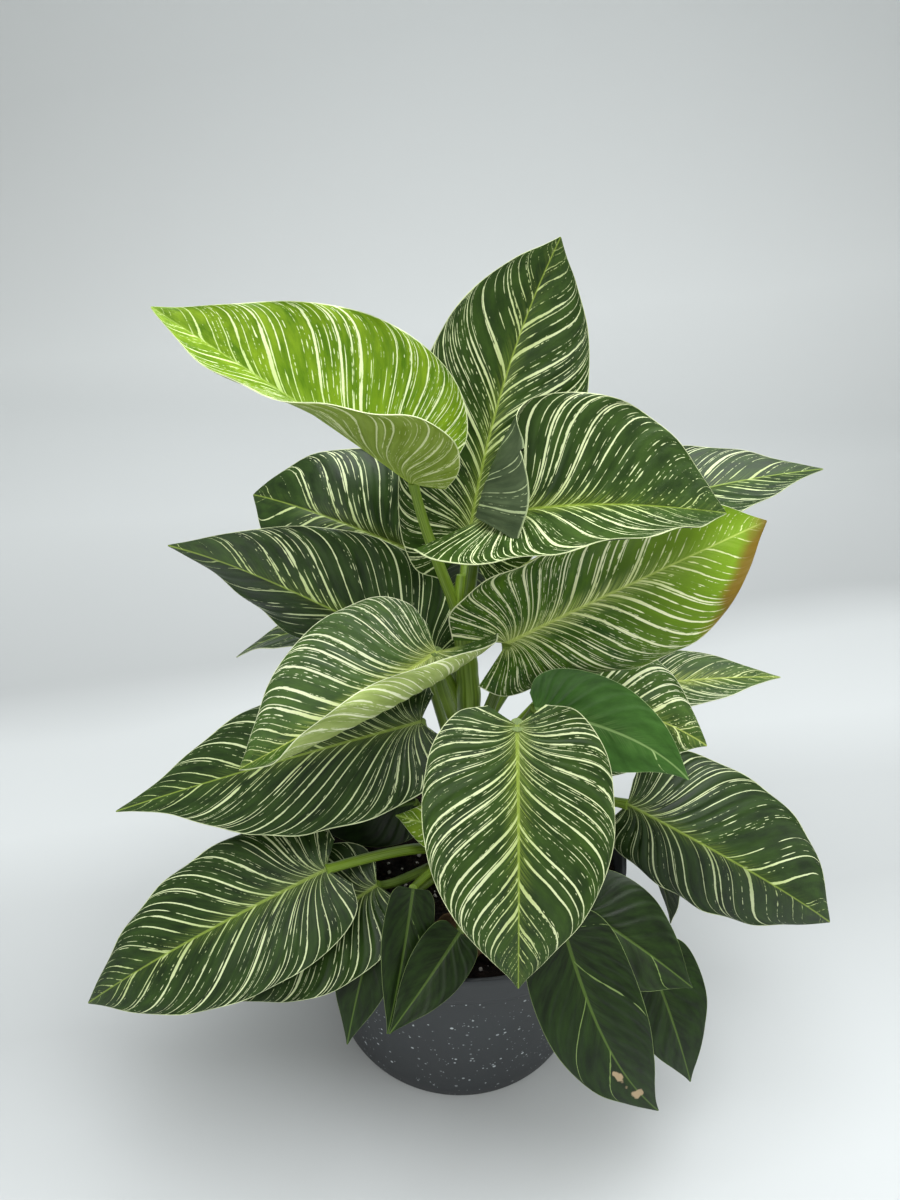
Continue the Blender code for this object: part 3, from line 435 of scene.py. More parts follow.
def stripes(tree, look, u, v, along, share=1.0):
    # the three widths of stripe, each in cells along the margin that differ in place, width and breaks
    total = None
    for number, (name, layer) in enumerate(stripeLayers.items()):
        stretch = addNode(tree, "ShaderNodeCombineXYZ", {
            0: addNode(tree, "ShaderNodeMath", {0: u, 1: 0.05}, operation="MULTIPLY").outputs[0],
            1: addNode(tree, "ShaderNodeMath", {0: v, 1: 1.6}, operation="MULTIPLY").outputs[0],
            2: float(number * 5)})
        wander = addNode(tree, "ShaderNodeTexNoise",
                         {"Vector": stretch.outputs[0], "Scale": 1.0, "Detail": 2.0})
        moved = addNode(tree, "ShaderNodeMath", {0: wander.outputs[0], 1: layer["wander"] * 2, 2: u},
                        operation="MULTIPLY_ADD")
        place = addNode(tree, "ShaderNodeMath", {0: moved.outputs[0], 1: 1 / layer["every"]},
                        operation="MULTIPLY")
        cell = addNode(tree, "ShaderNodeMath", {0: place.outputs[0]}, operation="FLOOR")
        within = addNode(tree, "ShaderNodeMath", {0: place.outputs[0]}, operation="FRACT")
        seed = addNode(tree, "ShaderNodeMath", {0: cell.outputs[0], 1: 31.7 * number}, operation="ADD")
        chance = addNode(tree, "ShaderNodeTexWhiteNoise", {"W": seed.outputs[0]}, noise_dimensions="1D")
        parts = addNode(tree, "ShaderNodeSeparateColor", {0: chance.outputs["Color"]})
        centre = addNode(tree, "ShaderNodeMath", {0: parts.outputs[0], 1: 0.4, 2: 0.3},
                         operation="MULTIPLY_ADD")
        offset = addNode(tree, "ShaderNodeMath", {0: within.outputs[0], 1: centre.outputs[0]},
                         operation="SUBTRACT")
        away = addNode(tree, "ShaderNodeMath", {0: offset.outputs[0]}, operation="ABSOLUTE")
        away = addNode(tree, "ShaderNodeMath", {0: away.outputs[0], 1: layer["every"]}, operation="MULTIPLY")
        # ragged edges, about 0.2 mm in and out every millimetre or two of the stripe's length
        fine = addNode(tree, "ShaderNodeCombineXYZ", {
            0: addNode(tree, "ShaderNodeMath", {0: u, 1: 1.1}, operation="MULTIPLY").outputs[0],
            1: addNode(tree, "ShaderNodeMath", {0: v, 1: 22.0}, operation="MULTIPLY").outputs[0]})
        ragged = addNode(tree, "ShaderNodeTexNoise", {"Vector": fine.outputs[0], "Scale": 1.0, "Detail": 3.0,
                                                      "Roughness": 0.65})
        away = addNode(tree, "ShaderNodeMath",
                       {0: ragged.outputs[0], 1: layer["width"] * 1.1, 2: away.outputs[0]},
                       operation="MULTIPLY_ADD")
        width = addNode(tree, "ShaderNodeMath", {0: parts.outputs[1], 1: layer["width"] * 1.3,
                                                 2: layer["width"] * 0.95}, operation="MULTIPLY_ADD")
        taper = addNode(tree, "ShaderNodeMapRange", {0: v, 1: 0.0, 2: 1.0, 3: 1.2, 4: 0.85})
        width = addNode(tree, "ShaderNodeMath", {0: width.outputs[0], 1: taper.outputs[0]},
                        operation="MULTIPLY")
        ending = addNode(tree, "ShaderNodeMapRange", {0: along, 1: 0.6, 2: 1.0, 3: 1.0, 4: 0.15})
        width = addNode(tree, "ShaderNodeMath", {0: width.outputs[0], 1: ending.outputs[0]},
                        operation="MULTIPLY")
        # a stripe narrows to a point where it breaks off
        run = addNode(tree, "ShaderNodeCombineXYZ", {
            0: addNode(tree, "ShaderNodeMath", {0: seed.outputs[0], 1: 3.37},
                       operation="MULTIPLY").outputs[0],
            1: addNode(tree, "ShaderNodeMath", {0: v, 1: layer["dash"]}, operation="MULTIPLY").outputs[0]})
        dashes = addNode(tree, "ShaderNodeTexNoise", {"Vector": run.outputs[0], "Scale": 1.0, "Detail": 2.5,
                                                      "Roughness": 0.6})
        gap = addNode(tree, "ShaderNodeMath", {0: parts.outputs[2], 1: 0.16, 2: layer["broken"]},
                      operation="MULTIPLY_ADD")
        gapEnd = addNode(tree, "ShaderNodeMath", {0: gap.outputs[0], 1: 0.2}, operation="ADD")
        kept = addNode(tree, "ShaderNodeMapRange",
                       {0: dashes.outputs[0], 1: gap.outputs[0], 2: gapEnd.outputs[0],
                                                    3: 0.0, 4: 1.0}, interpolation_type="SMOOTHSTEP")
        width = addNode(tree, "ShaderNodeMath", {0: width.outputs[0], 1: kept.outputs[0]},
                        operation="MULTIPLY")
        soft = addNode(tree, "ShaderNodeMath", {0: width.outputs[0], 1: 0.2}, operation="ADD")
        line = addNode(tree, "ShaderNodeMapRange",
                       {0: away.outputs[0], 1: soft.outputs[0], 2: width.outputs[0],
                                                    3: 0.0, 4: 1.0}, interpolation_type="SMOOTHSTEP")
        firm = addNode(tree, "ShaderNodeMapRange", {0: kept.outputs[0], 1: 0.0, 2: 0.35, 3: 0.0, 4: 1.0})
        present = addNode(tree, "ShaderNodeMath", {0: chance.outputs["Value"], 1: look[name] * share},
                          operation="LESS_THAN")
        line = addNode(tree, "ShaderNodeMath", {0: line.outputs[0], 1: firm.outputs[0]}, operation="MULTIPLY")
        line = addNode(tree, "ShaderNodeMath", {0: line.outputs[0], 1: present.outputs[0]},
                       operation="MULTIPLY")
        if total is None:
            total = line
        else:
            total = addNode(tree, "ShaderNodeMath", {0: total.outputs[0], 1: line.outputs[0]},
                            operation="MAXIMUM")
    return total.outputs[0]


def leafMaterial(name, look, under=False, special=None):
    # A living leaf has a smooth waxy skin over soft green tissue: the wax gives broad soft glints (IOR 1.45,
    # roughness 0.36), and the veins' relief breaks them into fine parallel ripples. The underside has no wax
    # gloss, is paler, and its veins stand proud.
    made, tree, shader = newMaterial(name)
    veins = addNode(tree, "ShaderNodeUVMap", uv_map="veins")
    flat = addNode(tree, "ShaderNodeUVMap", uv_map="flat")
    place = addNode(tree, "ShaderNodeSeparateXYZ", {0: veins.outputs[0]})
    blade = addNode(tree, "ShaderNodeSeparateXYZ", {0: flat.outputs[0]})
    u, v = place.outputs[0], place.outputs[1]
    share = blade.outputs[0]
    side = addNode(tree, "ShaderNodeMath", {0: blade.outputs[1], 1: 100.0, 2: -50.0},
                   operation="MULTIPLY_ADD")
    side = addNode(tree, "ShaderNodeMath", {0: side.outputs[0]}, operation="ABSOLUTE").outputs[0]
    # tissue: blotches about 15 mm long drawn out along the veins
    drawn = addNode(tree, "ShaderNodeCombineXYZ", {
        0: addNode(tree, "ShaderNodeMath", {0: u, 1: 0.16}, operation="MULTIPLY").outputs[0],
        1: addNode(tree, "ShaderNodeMath", {0: v, 1: 2.4}, operation="MULTIPLY").outputs[0]})
    blotch = addNode(tree, "ShaderNodeTexNoise", {"Vector": drawn.outputs[0], "Scale": 1.0, "Detail": 4.0,
                                                  "Roughness": 0.6})
    blotch = addNode(tree, "ShaderNodeMapRange", {0: blotch.outputs[0], 1: 0.35, 2: 0.68, 3: 0.0, 4: 1.0})
    color = addNode(tree, "ShaderNodeMix", {0: blotch.outputs[0], 6: linearColor(look["dark"]),
                                            7: linearColor(look["light"])}, data_type="RGBA").outputs[2]
    if special:
        color = special(tree, color, share, side, v, blotch.outputs[0])
    # chlorophyll is thinner right beside the midrib, so the green yellows there
    near = addNode(tree, "ShaderNodeMapRange", {0: side, 1: 7.0, 2: 0.5, 3: 0.0, 4: 1.0},
                   interpolation_type="SMOOTHSTEP")
    along = addNode(tree, "ShaderNodeMapRange", {0: share, 1: 0.75, 2: 0.35, 3: 0.15, 4: 1.0})
    glow = addNode(tree, "ShaderNodeMath", {0: near.outputs[0], 1: along.outputs[0]}, operation="MULTIPLY")
    streak = addNode(tree, "ShaderNodeTexNoise", {"Vector": addNode(tree, "ShaderNodeCombineXYZ", {
        0: addNode(tree, "ShaderNodeMath", {0: u, 1: 1.3}, operation="MULTIPLY").outputs[0],
        1: v}).outputs[0], "Scale": 1.0, "Detail": 2.0})
    streak = addNode(tree, "ShaderNodeMapRange", {0: streak.outputs[0], 1: 0.42, 2: 0.62, 3: 0.0, 4: 1.0})
    glow = addNode(tree, "ShaderNodeMath", {0: glow.outputs[0], 1: streak.outputs[0]}, operation="MULTIPLY")
    glow = addNode(tree, "ShaderNodeMath", {0: glow.outputs[0], 1: look.get("glow", 0.3)},
                   operation="MULTIPLY")
    color = addNode(tree, "ShaderNodeMix", {0: glow.outputs[0], 6: color, 7: linearColor(look["rib"])},
                    data_type="RGBA").outputs[2]
    lines = stripes(tree, {"bold": look.get("bold", 0.7), "medium": look.get("medium", 0.6),
                           "fine": look.get("fine", 0.4)}, u, v, share, look.get("share", 1.0))
    warm = addNode(tree, "ShaderNodeMapRange", {0: side, 1: 2.0, 2: 14.0, 3: 0.55, 4: 0.0})
    cream = addNode(tree, "ShaderNodeMix", {0: warm.outputs[0], 6: linearColor(look["stripe"]),
                                            7: linearColor(look["rib"])}, data_type="RGBA").outputs[2]
    color = addNode(tree, "ShaderNodeMix", {0: lines, 6: color, 7: cream}, data_type="RGBA").outputs[2]
    # the midrib itself, 1.3 mm wide at the stalk and vanishing at the tip
    ribWidth = addNode(tree, "ShaderNodeMapRange", {0: share, 1: 0.0, 2: 0.8, 3: 0.55, 4: 0.05})
    ribSoft = addNode(tree, "ShaderNodeMath", {0: ribWidth.outputs[0], 1: 0.5}, operation="ADD")
    rib = addNode(tree, "ShaderNodeMapRange", {0: side, 1: ribSoft.outputs[0], 2: ribWidth.outputs[0], 3: 0.0,
                                               4: 0.6}, interpolation_type="SMOOTHSTEP")
    color = addNode(tree, "ShaderNodeMix", {0: rib.outputs[0], 6: color, 7: linearColor(look["rib"])},
                    data_type="RGBA").outputs[2]
    # the margin is a clear cream line, half a millimetre to one wide
    edgeNoise = addNode(tree, "ShaderNodeTexNoise",
                        {"Vector": addNode(tree, "ShaderNodeCombineXYZ", {0: u}).outputs[0],
                                                     "Scale": 0.35, "Detail": 2.0})
    edgeStart = addNode(tree, "ShaderNodeMapRange",
                        {0: edgeNoise.outputs[0], 1: 0.3, 2: 0.7, 3: 0.985, 4: 0.965})
    edge = addNode(tree, "ShaderNodeMapRange", {0: v, 1: edgeStart.outputs[0], 2: 0.992, 3: 0.0, 4: 0.9},
                   interpolation_type="SMOOTHSTEP")
    color = addNode(tree, "ShaderNodeMix", {0: edge.outputs[0], 6: color,
                                            7: linearColor(look.get("edge", look["stripe"]))},
                                            data_type="RGBA").outputs[2]
    tree.links.new(color, shader.inputs["Base Color"])
    # relief: side veins every 4.2 mm, and cell-scale grain 0.5 mm across, drawn as fine as shows
    ridges = addNode(tree, "ShaderNodeMath", {0: u, 1: 2 * math.pi / 4.2}, operation="MULTIPLY")
    ridges = addNode(tree, "ShaderNodeMath", {0: ridges.outputs[0]}, operation="SINE")
    grainPlace = addNode(tree, "ShaderNodeCombineXYZ", {
        0: addNode(tree, "ShaderNodeMath", {0: u, 1: 2.0}, operation="MULTIPLY").outputs[0],
        1: addNode(tree, "ShaderNodeMath", {0: v, 1: 30.0}, operation="MULTIPLY").outputs[0]})
    grain = addNode(tree, "ShaderNodeTexNoise",
                    {"Vector": grainPlace.outputs[0], "Scale": 1.0, "Detail": 3.0})
    height = addNode(tree, "ShaderNodeMath", {0: ridges.outputs[0], 1: 0.5, 2: grain.outputs[0]},
                     operation="MULTIPLY_ADD")
    bump = addNode(tree, "ShaderNodeBump", {"Strength": 0.35 if under else 0.22, "Distance": 0.0003,
                                            "Height": height.outputs[0]})
    tree.links.new(bump.outputs[0], shader.inputs["Normal"])
    gloss = addNode(tree, "ShaderNodeMapRange", {0: blotch.outputs[0], 1: 0.0, 2: 1.0,
                                                 3: 0.5 if under else look.get("rough", 0.34),
                                                 4: 0.62 if under else look.get("rough", 0.34) + 0.1})
    tree.links.new(gloss.outputs[0], shader.inputs["Roughness"])
    paint(shader, ior=1.45, specular=0.2 if under else 0.32)
    return made


def bronzeTip(tree, color, share, side, v, blotch):
    # a young leaf's end turns lime; the scorched bronze brown along the last third of the near margin is laid
    # on afterwards by addBronze
    lime = addNode(tree, "ShaderNodeMapRange", {0: share, 1: 0.35, 2: 0.8, 3: 0.0, 4: 0.85})
    color = addNode(tree, "ShaderNodeMix", {0: lime.outputs[0], 6: color, 7: linearColor("#7fa31c")},
                    data_type="RGBA").outputs[2]
    return color


def addBronze(made, look):
    # laid over everything, stripes included: cells at the tip died back and dried
    tree = made.node_tree
    shader = tree.nodes["Principled BSDF"]
    source = shader.inputs["Base Color"].links[0].from_socket
    flat = addNode(tree, "ShaderNodeUVMap", uv_map="flat")
    blade = addNode(tree, "ShaderNodeSeparateXYZ", {0: flat.outputs[0]})
    slant = addNode(tree, "ShaderNodeMath", {0: blade.outputs[1], 1: 0.9, 2: blade.outputs[0]},
                    operation="MULTIPLY_ADD")
    noise = addNode(tree, "ShaderNodeTexNoise", {"Vector": flat.outputs[0], "Scale": 9.0, "Detail": 4.0})
    slant = addNode(tree, "ShaderNodeMath", {0: noise.outputs[0], 1: 0.12, 2: slant.outputs[0]},
                    operation="MULTIPLY_ADD")
    burn = addNode(tree, "ShaderNodeMapRange", {0: slant.outputs[0], 1: look["from"], 2: look["to"], 3: 0.0,
                                                4: 0.95}, interpolation_type="SMOOTHSTEP")
    brown = addNode(tree, "ShaderNodeMix", {0: noise.outputs[0], 6: linearColor(look["brown"]),
                                            7: linearColor(look["tan"])}, data_type="RGBA").outputs[2]
    tree.links.new(addNode(tree, "ShaderNodeMix", {0: burn.outputs[0], 6: source, 7: brown},
                           data_type="RGBA").outputs[2], shader.inputs["Base Color"])
    return made


def addScar(made):
    # an old scrape across the blade that healed as dry tan tissue, in two patches, the second nearer the tip
    tree = made.node_tree
    shader = tree.nodes["Principled BSDF"]
    source = shader.inputs["Base Color"].links[0].from_socket
    flat = addNode(tree, "ShaderNodeUVMap", uv_map="flat")
    rough = addNode(tree, "ShaderNodeTexNoise", {"Vector": flat.outputs[0], "Scale": 16.0, "Detail": 5.0})
    for at, size in (((0.72, 0.53), (9.0, 26.0)), ((0.85, 0.50), (17.0, 14.0))):
        moved = addNode(tree, "ShaderNodeVectorMath", {0: flat.outputs[0], 1: (at[0], at[1], 0)},
                        operation="SUBTRACT")
        scaled = addNode(tree, "ShaderNodeVectorMath", {0: moved.outputs[0], 1: (size[0], size[1], 0)},
                         operation="MULTIPLY")
        far = addNode(tree, "ShaderNodeVectorMath", {0: scaled.outputs[0]}, operation="LENGTH")
        edge = addNode(tree, "ShaderNodeMath", {0: rough.outputs[0], 1: 1.6, 2: far.outputs["Value"]},
                       operation="MULTIPLY_ADD")
        mask = addNode(tree, "ShaderNodeMapRange", {0: edge.outputs[0], 1: 1.22, 2: 1.08, 3: 0.0, 4: 0.9})
        source = addNode(tree, "ShaderNodeMix", {0: mask.outputs[0], 6: source, 7: linearColor("#b39d7c")},
                         data_type="RGBA").outputs[2]
    tree.links.new(source, shader.inputs["Base Color"])


madeMaterials = {}


def leafPair(look):
    # upper side and underside of one kind of leaf, made once
    if look not in madeMaterials:
        special = bronzeTip if look == "limeBronze" else None
        kind = look.replace("Scarred", "")
        upper = leafMaterial("waxyLeaf_" + look, leafLooks[kind], special=special)
        lower = leafMaterial("leafUnderside_" + look, undersideLooks[kind], under=True)
        if look != kind:
            addScar(upper)
        if look == "limeBronze":
            addBronze(upper, {"from": 1.42, "to": 1.50, "brown": "#5d4a12", "tan": "#8a6a1c"})
            addBronze(lower, {"from": 1.42, "to": 1.50, "brown": "#5d4a12", "tan": "#8a6a1c"})
        madeMaterials[look] = (upper, lower)
    return madeMaterials[look]


for name, values in leaves.items():
    values = {**leafDefaults, **values}
    leaf = makeLeaf("blade_" + name[5:], values, leafPair(values["look"]))
    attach(leaf, "root")
    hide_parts(name)
print("leaves made:", len(leaves))

# The stem and its leaf stalks.
stemShape = {"sides": 40, "rings": 90, "stalkSides": 22, "stalkRings": 60,
             "sheath": 1.35, "nodeEvery": 17}


def tubeMesh(path, radii, sides, shapeAt=None):
    # a closed tube; shapeAt gives each point's share of the radius from (ring share, angle)
    along = unit(np.gradient(path, axis=0))
    side = unit(np.cross(along[0], (0.3, 1.0, 0.2)))
    points, faces = [], []
    for ring, (centre, direction, radius) in enumerate(zip(path, along, radii)):
        side = unit(side - direction * np.dot(side, direction))
        across = np.cross(direction, side)
        for k in range(sides):
            angle = 2 * math.pi * k / sides
            r = radius * (shapeAt(ring / (len(path) - 1), angle) if shapeAt else 1)
            points.append(centre + r * (math.cos(angle) * side + math.sin(angle) * across))
    for i in range(len(path) - 1):
        for k in range(sides):
            n = (k + 1) % sides
            faces.append((i * sides + k, i * sides + n, (i + 1) * sides + n, (i + 1) * sides + k))
    last = (len(path) - 1) * sides
    faces.append(tuple(reversed(range(sides))))
    faces.append(tuple(range(last, last + sides)))
    return points, faces


def stemAt(height):
    p = np.array(stemPoints, float)
    return np.array([np.interp(height, p[:, 2], p[:, k]) for k in range(2)] + [height])


def stalkPath(values):
    height, out, rise, bend, _, thin = values["stalk"]
    controls, up, length = leafFrame(values)
    base = controls[0]
    foot = stemAt(height)
    away = (base - foot) * (1, 1, 0)
    away = unit(away) if np.linalg.norm(away) > 1 else np.zeros(3)
    _, tangent = bezier(controls, np.array(0.0))
    normal = unit(up - tangent * np.dot(up, tangent))
    arrival = unit(values["stalkIn"])
    end = base - normal * 0.5 + arrival * 0.3
    ends = [foot, foot + away * out + np.array([0, 0, rise]), end - arrival * bend, end]
    return bezier(ends, np.linspace(0, 1, stemShape["stalkRings"]))[0]


def stalkMaterial(name, look):
    # A fleshy green stalk with a smooth skin: fibres run its length as faint paler streaks, and the skin's
    # wax gives one long soft glint.
    made, tree, shader = newMaterial(name)
    runs = addNode(tree, "ShaderNodeUVMap", uv_map="runs")
    place = addNode(tree, "ShaderNodeSeparateXYZ", {0: runs.outputs[0]})
    fibres = addNode(tree, "ShaderNodeCombineXYZ", {
        0: addNode(tree, "ShaderNodeMath", {0: place.outputs[0], 1: 16.0}, operation="MULTIPLY").outputs[0],
        1: addNode(tree, "ShaderNodeMath", {0: place.outputs[1], 1: 0.02}, operation="MULTIPLY").outputs[0]})
    streaks = addNode(tree, "ShaderNodeTexNoise", {"Vector": fibres.outputs[0], "Scale": 1.0, "Detail": 3.0})
    streaks = addNode(tree, "ShaderNodeMapRange", {0: streaks.outputs[0], 1: 0.35, 2: 0.7, 3: 0.0, 4: 1.0})
    color = addNode(tree, "ShaderNodeMix", {0: streaks.outputs[0], 6: linearColor(look["dark"]),
                                            7: linearColor(look["light"])}, data_type="RGBA").outputs[2]
    coords = addNode(tree, "ShaderNodeTexCoord")
    patches = addNode(tree, "ShaderNodeTexNoise", {"Vector": coords.outputs["Object"], "Scale": 45.0,
                                                   "Detail": 3.0})
    patches = addNode(tree, "ShaderNodeMapRange", {0: patches.outputs[0], 1: 0.4, 2: 0.75, 3: 0.0, 4: 0.7})
    color = addNode(tree, "ShaderNodeMix", {0: patches.outputs[0], 6: color, 7: linearColor(look["patch"])},
                    data_type="RGBA").outputs[2]
    tree.links.new(color, shader.inputs["Base Color"])
    ripple = addNode(tree, "ShaderNodeBump",
                     {"Strength": 0.25, "Distance": 0.0003, "Height": streaks.outputs[0]})
    tree.links.new(ripple.outputs[0], shader.inputs["Normal"])
    paint(shader, roughness=0.36, ior=1.45, specular=0.5)
    return made


def makeStems(values):
    points, faces, uvs = [], [], []
    slots = []
    shape = stemShape

    def add(path, radii, sides, shapeAt, slot):
        first = len(points)
        more, quads = tubeMesh(path, radii, sides, shapeAt)
        run = np.concatenate([[0], np.cumsum(np.linalg.norm(np.diff(path, axis=0), axis=1))])
        points.extend(np.array(more) * mm)
        for ring in range(len(path)):
            for k in range(sides):
                uvs.append((abs(k / sides - 0.5) * 2, run[ring] + first * 0.37))
        faces.extend(tuple(first + i for i in quad) for quad in quads)
        slots.extend([slot] * len(quads))

    path, _ = spline(stemPoints, shape["rings"])

    def rings(share, angle):
        # old leaf scars ring the stem, and each internode swells a little
        height = 98 + share * 184
        scar = math.exp(-(((height % shape["nodeEvery"]) - shape["nodeEvery"] / 2) / 1.0) ** 2)
        return 1 + 0.05 * math.cos(2 * math.pi * height / shape["nodeEvery"]) + 0.06 * scar

    add(path[:, :3], path[:, 3], shape["sides"], rings, 0)
    for number, (name, leaf) in enumerate(values.items()):
        leaf = {**leafDefaults, **leaf}
        thick, thin = leaf["stalk"][4:]
        t = np.linspace(0, 1, shape["stalkRings"])
        radii = thick + (thin - thick) * t
        radii = radii * (1 + (shape["sheath"] - 1) * np.clip(1 - t / 0.3, 0, 1) ** 2)
        radii = radii * (1 + 0.18 * np.clip((t - 0.93) / 0.07, 0, 1))

        def channel(share, angle):
            # the foot of a stalk is a sheath with a shallow channel down its upper face
            return 1 - 0.16 * math.exp(-(((angle - math.pi / 2) / 0.5) ** 2)) * max(0.0, 1 - share * 0.8)

        add(stalkPath(leaf), radii, shape["stalkSides"], channel, 1 if number % 3 else 0)
    fresh = stalkMaterial("smoothStalkYoung", {"dark": "#55700f", "light": "#8aa63a", "patch": "#6c8a1f"})
    old = stalkMaterial("smoothStalkOlder", {"dark": "#3f5510", "light": "#6c8730", "patch": "#7f9740"})
    stems = meshObject("stem_and_stalks", points, faces, [fresh, old], slots)
    corners = np.zeros(len(stems.data.loops), np.int32)
    stems.data.loops.foreach_get("vertex_index", corners)
    layer = stems.data.uv_layers.new(name="runs")
    layer.uv.foreach_set("vector", np.asarray(uvs, np.float32)[corners].ravel())
    stems.data.set_sharp_from_angle(angle=math.radians(60))
    return stems


stems = makeStems(leaves)
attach(stems, "root")
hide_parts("stems")
print("stem and stalks made")

# The nursery pot: thin moulded plastic with a plain band under its lip.
pot = {"height": 118, "bottom": 70, "shoulder": 81.5, "bandFrom": 98, "band": 84.5, "top": 86, "wall": 1.6,
       "lip": 2.4, "sides": 192, "holes": 8, "holeRadius": 5, "holeRing": 56, "soilLevel": 104, "mound": 7,
       "plastic": "#26292c", "plasticWorn": "#33373a", "fleck": "#c3cbce"}


def makePot():
    h, wall = pot["height"], pot["wall"]
    profile = [(0, 0.8), (60, 0.8), (62, 0), (pot["bottom"] - 2, 0), (pot["bottom"] - 0.6, 0.5),
               (pot["bottom"], 1.8)]
    for k in range(1, 12):
        z = 1.8 + (pot["bandFrom"] - 1.8) * k / 12
        profile.append((pot["bottom"] + (pot["shoulder"] - pot["bottom"]) * k / 12, z))
    profile += [(pot["shoulder"], pot["bandFrom"]), (pot["shoulder"] + 0.5, pot["bandFrom"] + 0.1),
                (pot["band"] - 0.6, pot["bandFrom"] + 0.9), (pot["band"], pot["bandFrom"] + 1.8)]
    for k in range(1, 6):
        profile.append((pot["band"] + (pot["top"] - pot["band"]) * k / 6,
                        pot["bandFrom"] + 1.8 + (h - pot["bandFrom"] - 3) * k / 6))
    profile += [(pot["top"], h - 1.2), (pot["top"] - 0.3, h - 0.3), (pot["top"] - 1.0, h),
                (pot["top"] - pot["lip"] + 0.6, h), (pot["top"] - pot["lip"], h - 0.6),
                (pot["band"] - pot["lip"] - 0.4, pot["bandFrom"] + 3),
                (pot["shoulder"] - wall, pot["bandFrom"] - 1),
                (pot["bottom"] - wall, 3), (pot["bottom"] - wall - 1, 2), (0, 2)]
    shape = bpy.data.meshes.new("nursery_pot")
    sides = pot["sides"]
    points, faces = [], []
    for r, z in profile:
        for j in range(sides):
            a = 2 * math.pi * j / sides
            points.append((max(r, 0.02) * math.cos(a) * mm, max(r, 0.02) * math.sin(a) * mm, z * mm))
    for i in range(len(profile) - 1):
        for j in range(sides):
            n = (j + 1) % sides
            faces.append((i * sides + j, i * sides + n, (i + 1) * sides + n, (i + 1) * sides + j))
    faces.append(tuple(reversed(range(sides))))
    faces.append(tuple((len(profile) - 1) * sides + j for j in range(sides)))
    shape.from_pydata(points, [], faces)
    obj = bpy.data.objects.new("nursery_pot", shape)
    bpy.context.scene.collection.objects.link(obj)
    for i in range(pot["holes"]):
        angle = (i + 0.5) * 2 * math.pi / pot["holes"]
        bpy.ops.mesh.primitive_cylinder_add(vertices=32, radius=pot["holeRadius"] * mm, depth=0.02, location=(
            pot["holeRing"] * mm * math.cos(angle), pot["holeRing"] * mm * math.sin(angle), 0))
        cutter = bpy.context.object
        cut = obj.modifiers.new("drain hole", "BOOLEAN")
        cut.object, cut.solver = cutter, "EXACT"
        bpy.context.view_layer.objects.active = obj
        bpy.ops.object.modifier_apply(modifier=cut.name)
        bpy.data.objects.remove(cutter, do_unlink=True)
    obj.data.shade_smooth()
    obj.data.set_sharp_from_angle(angle=math.radians(35))
    return obj


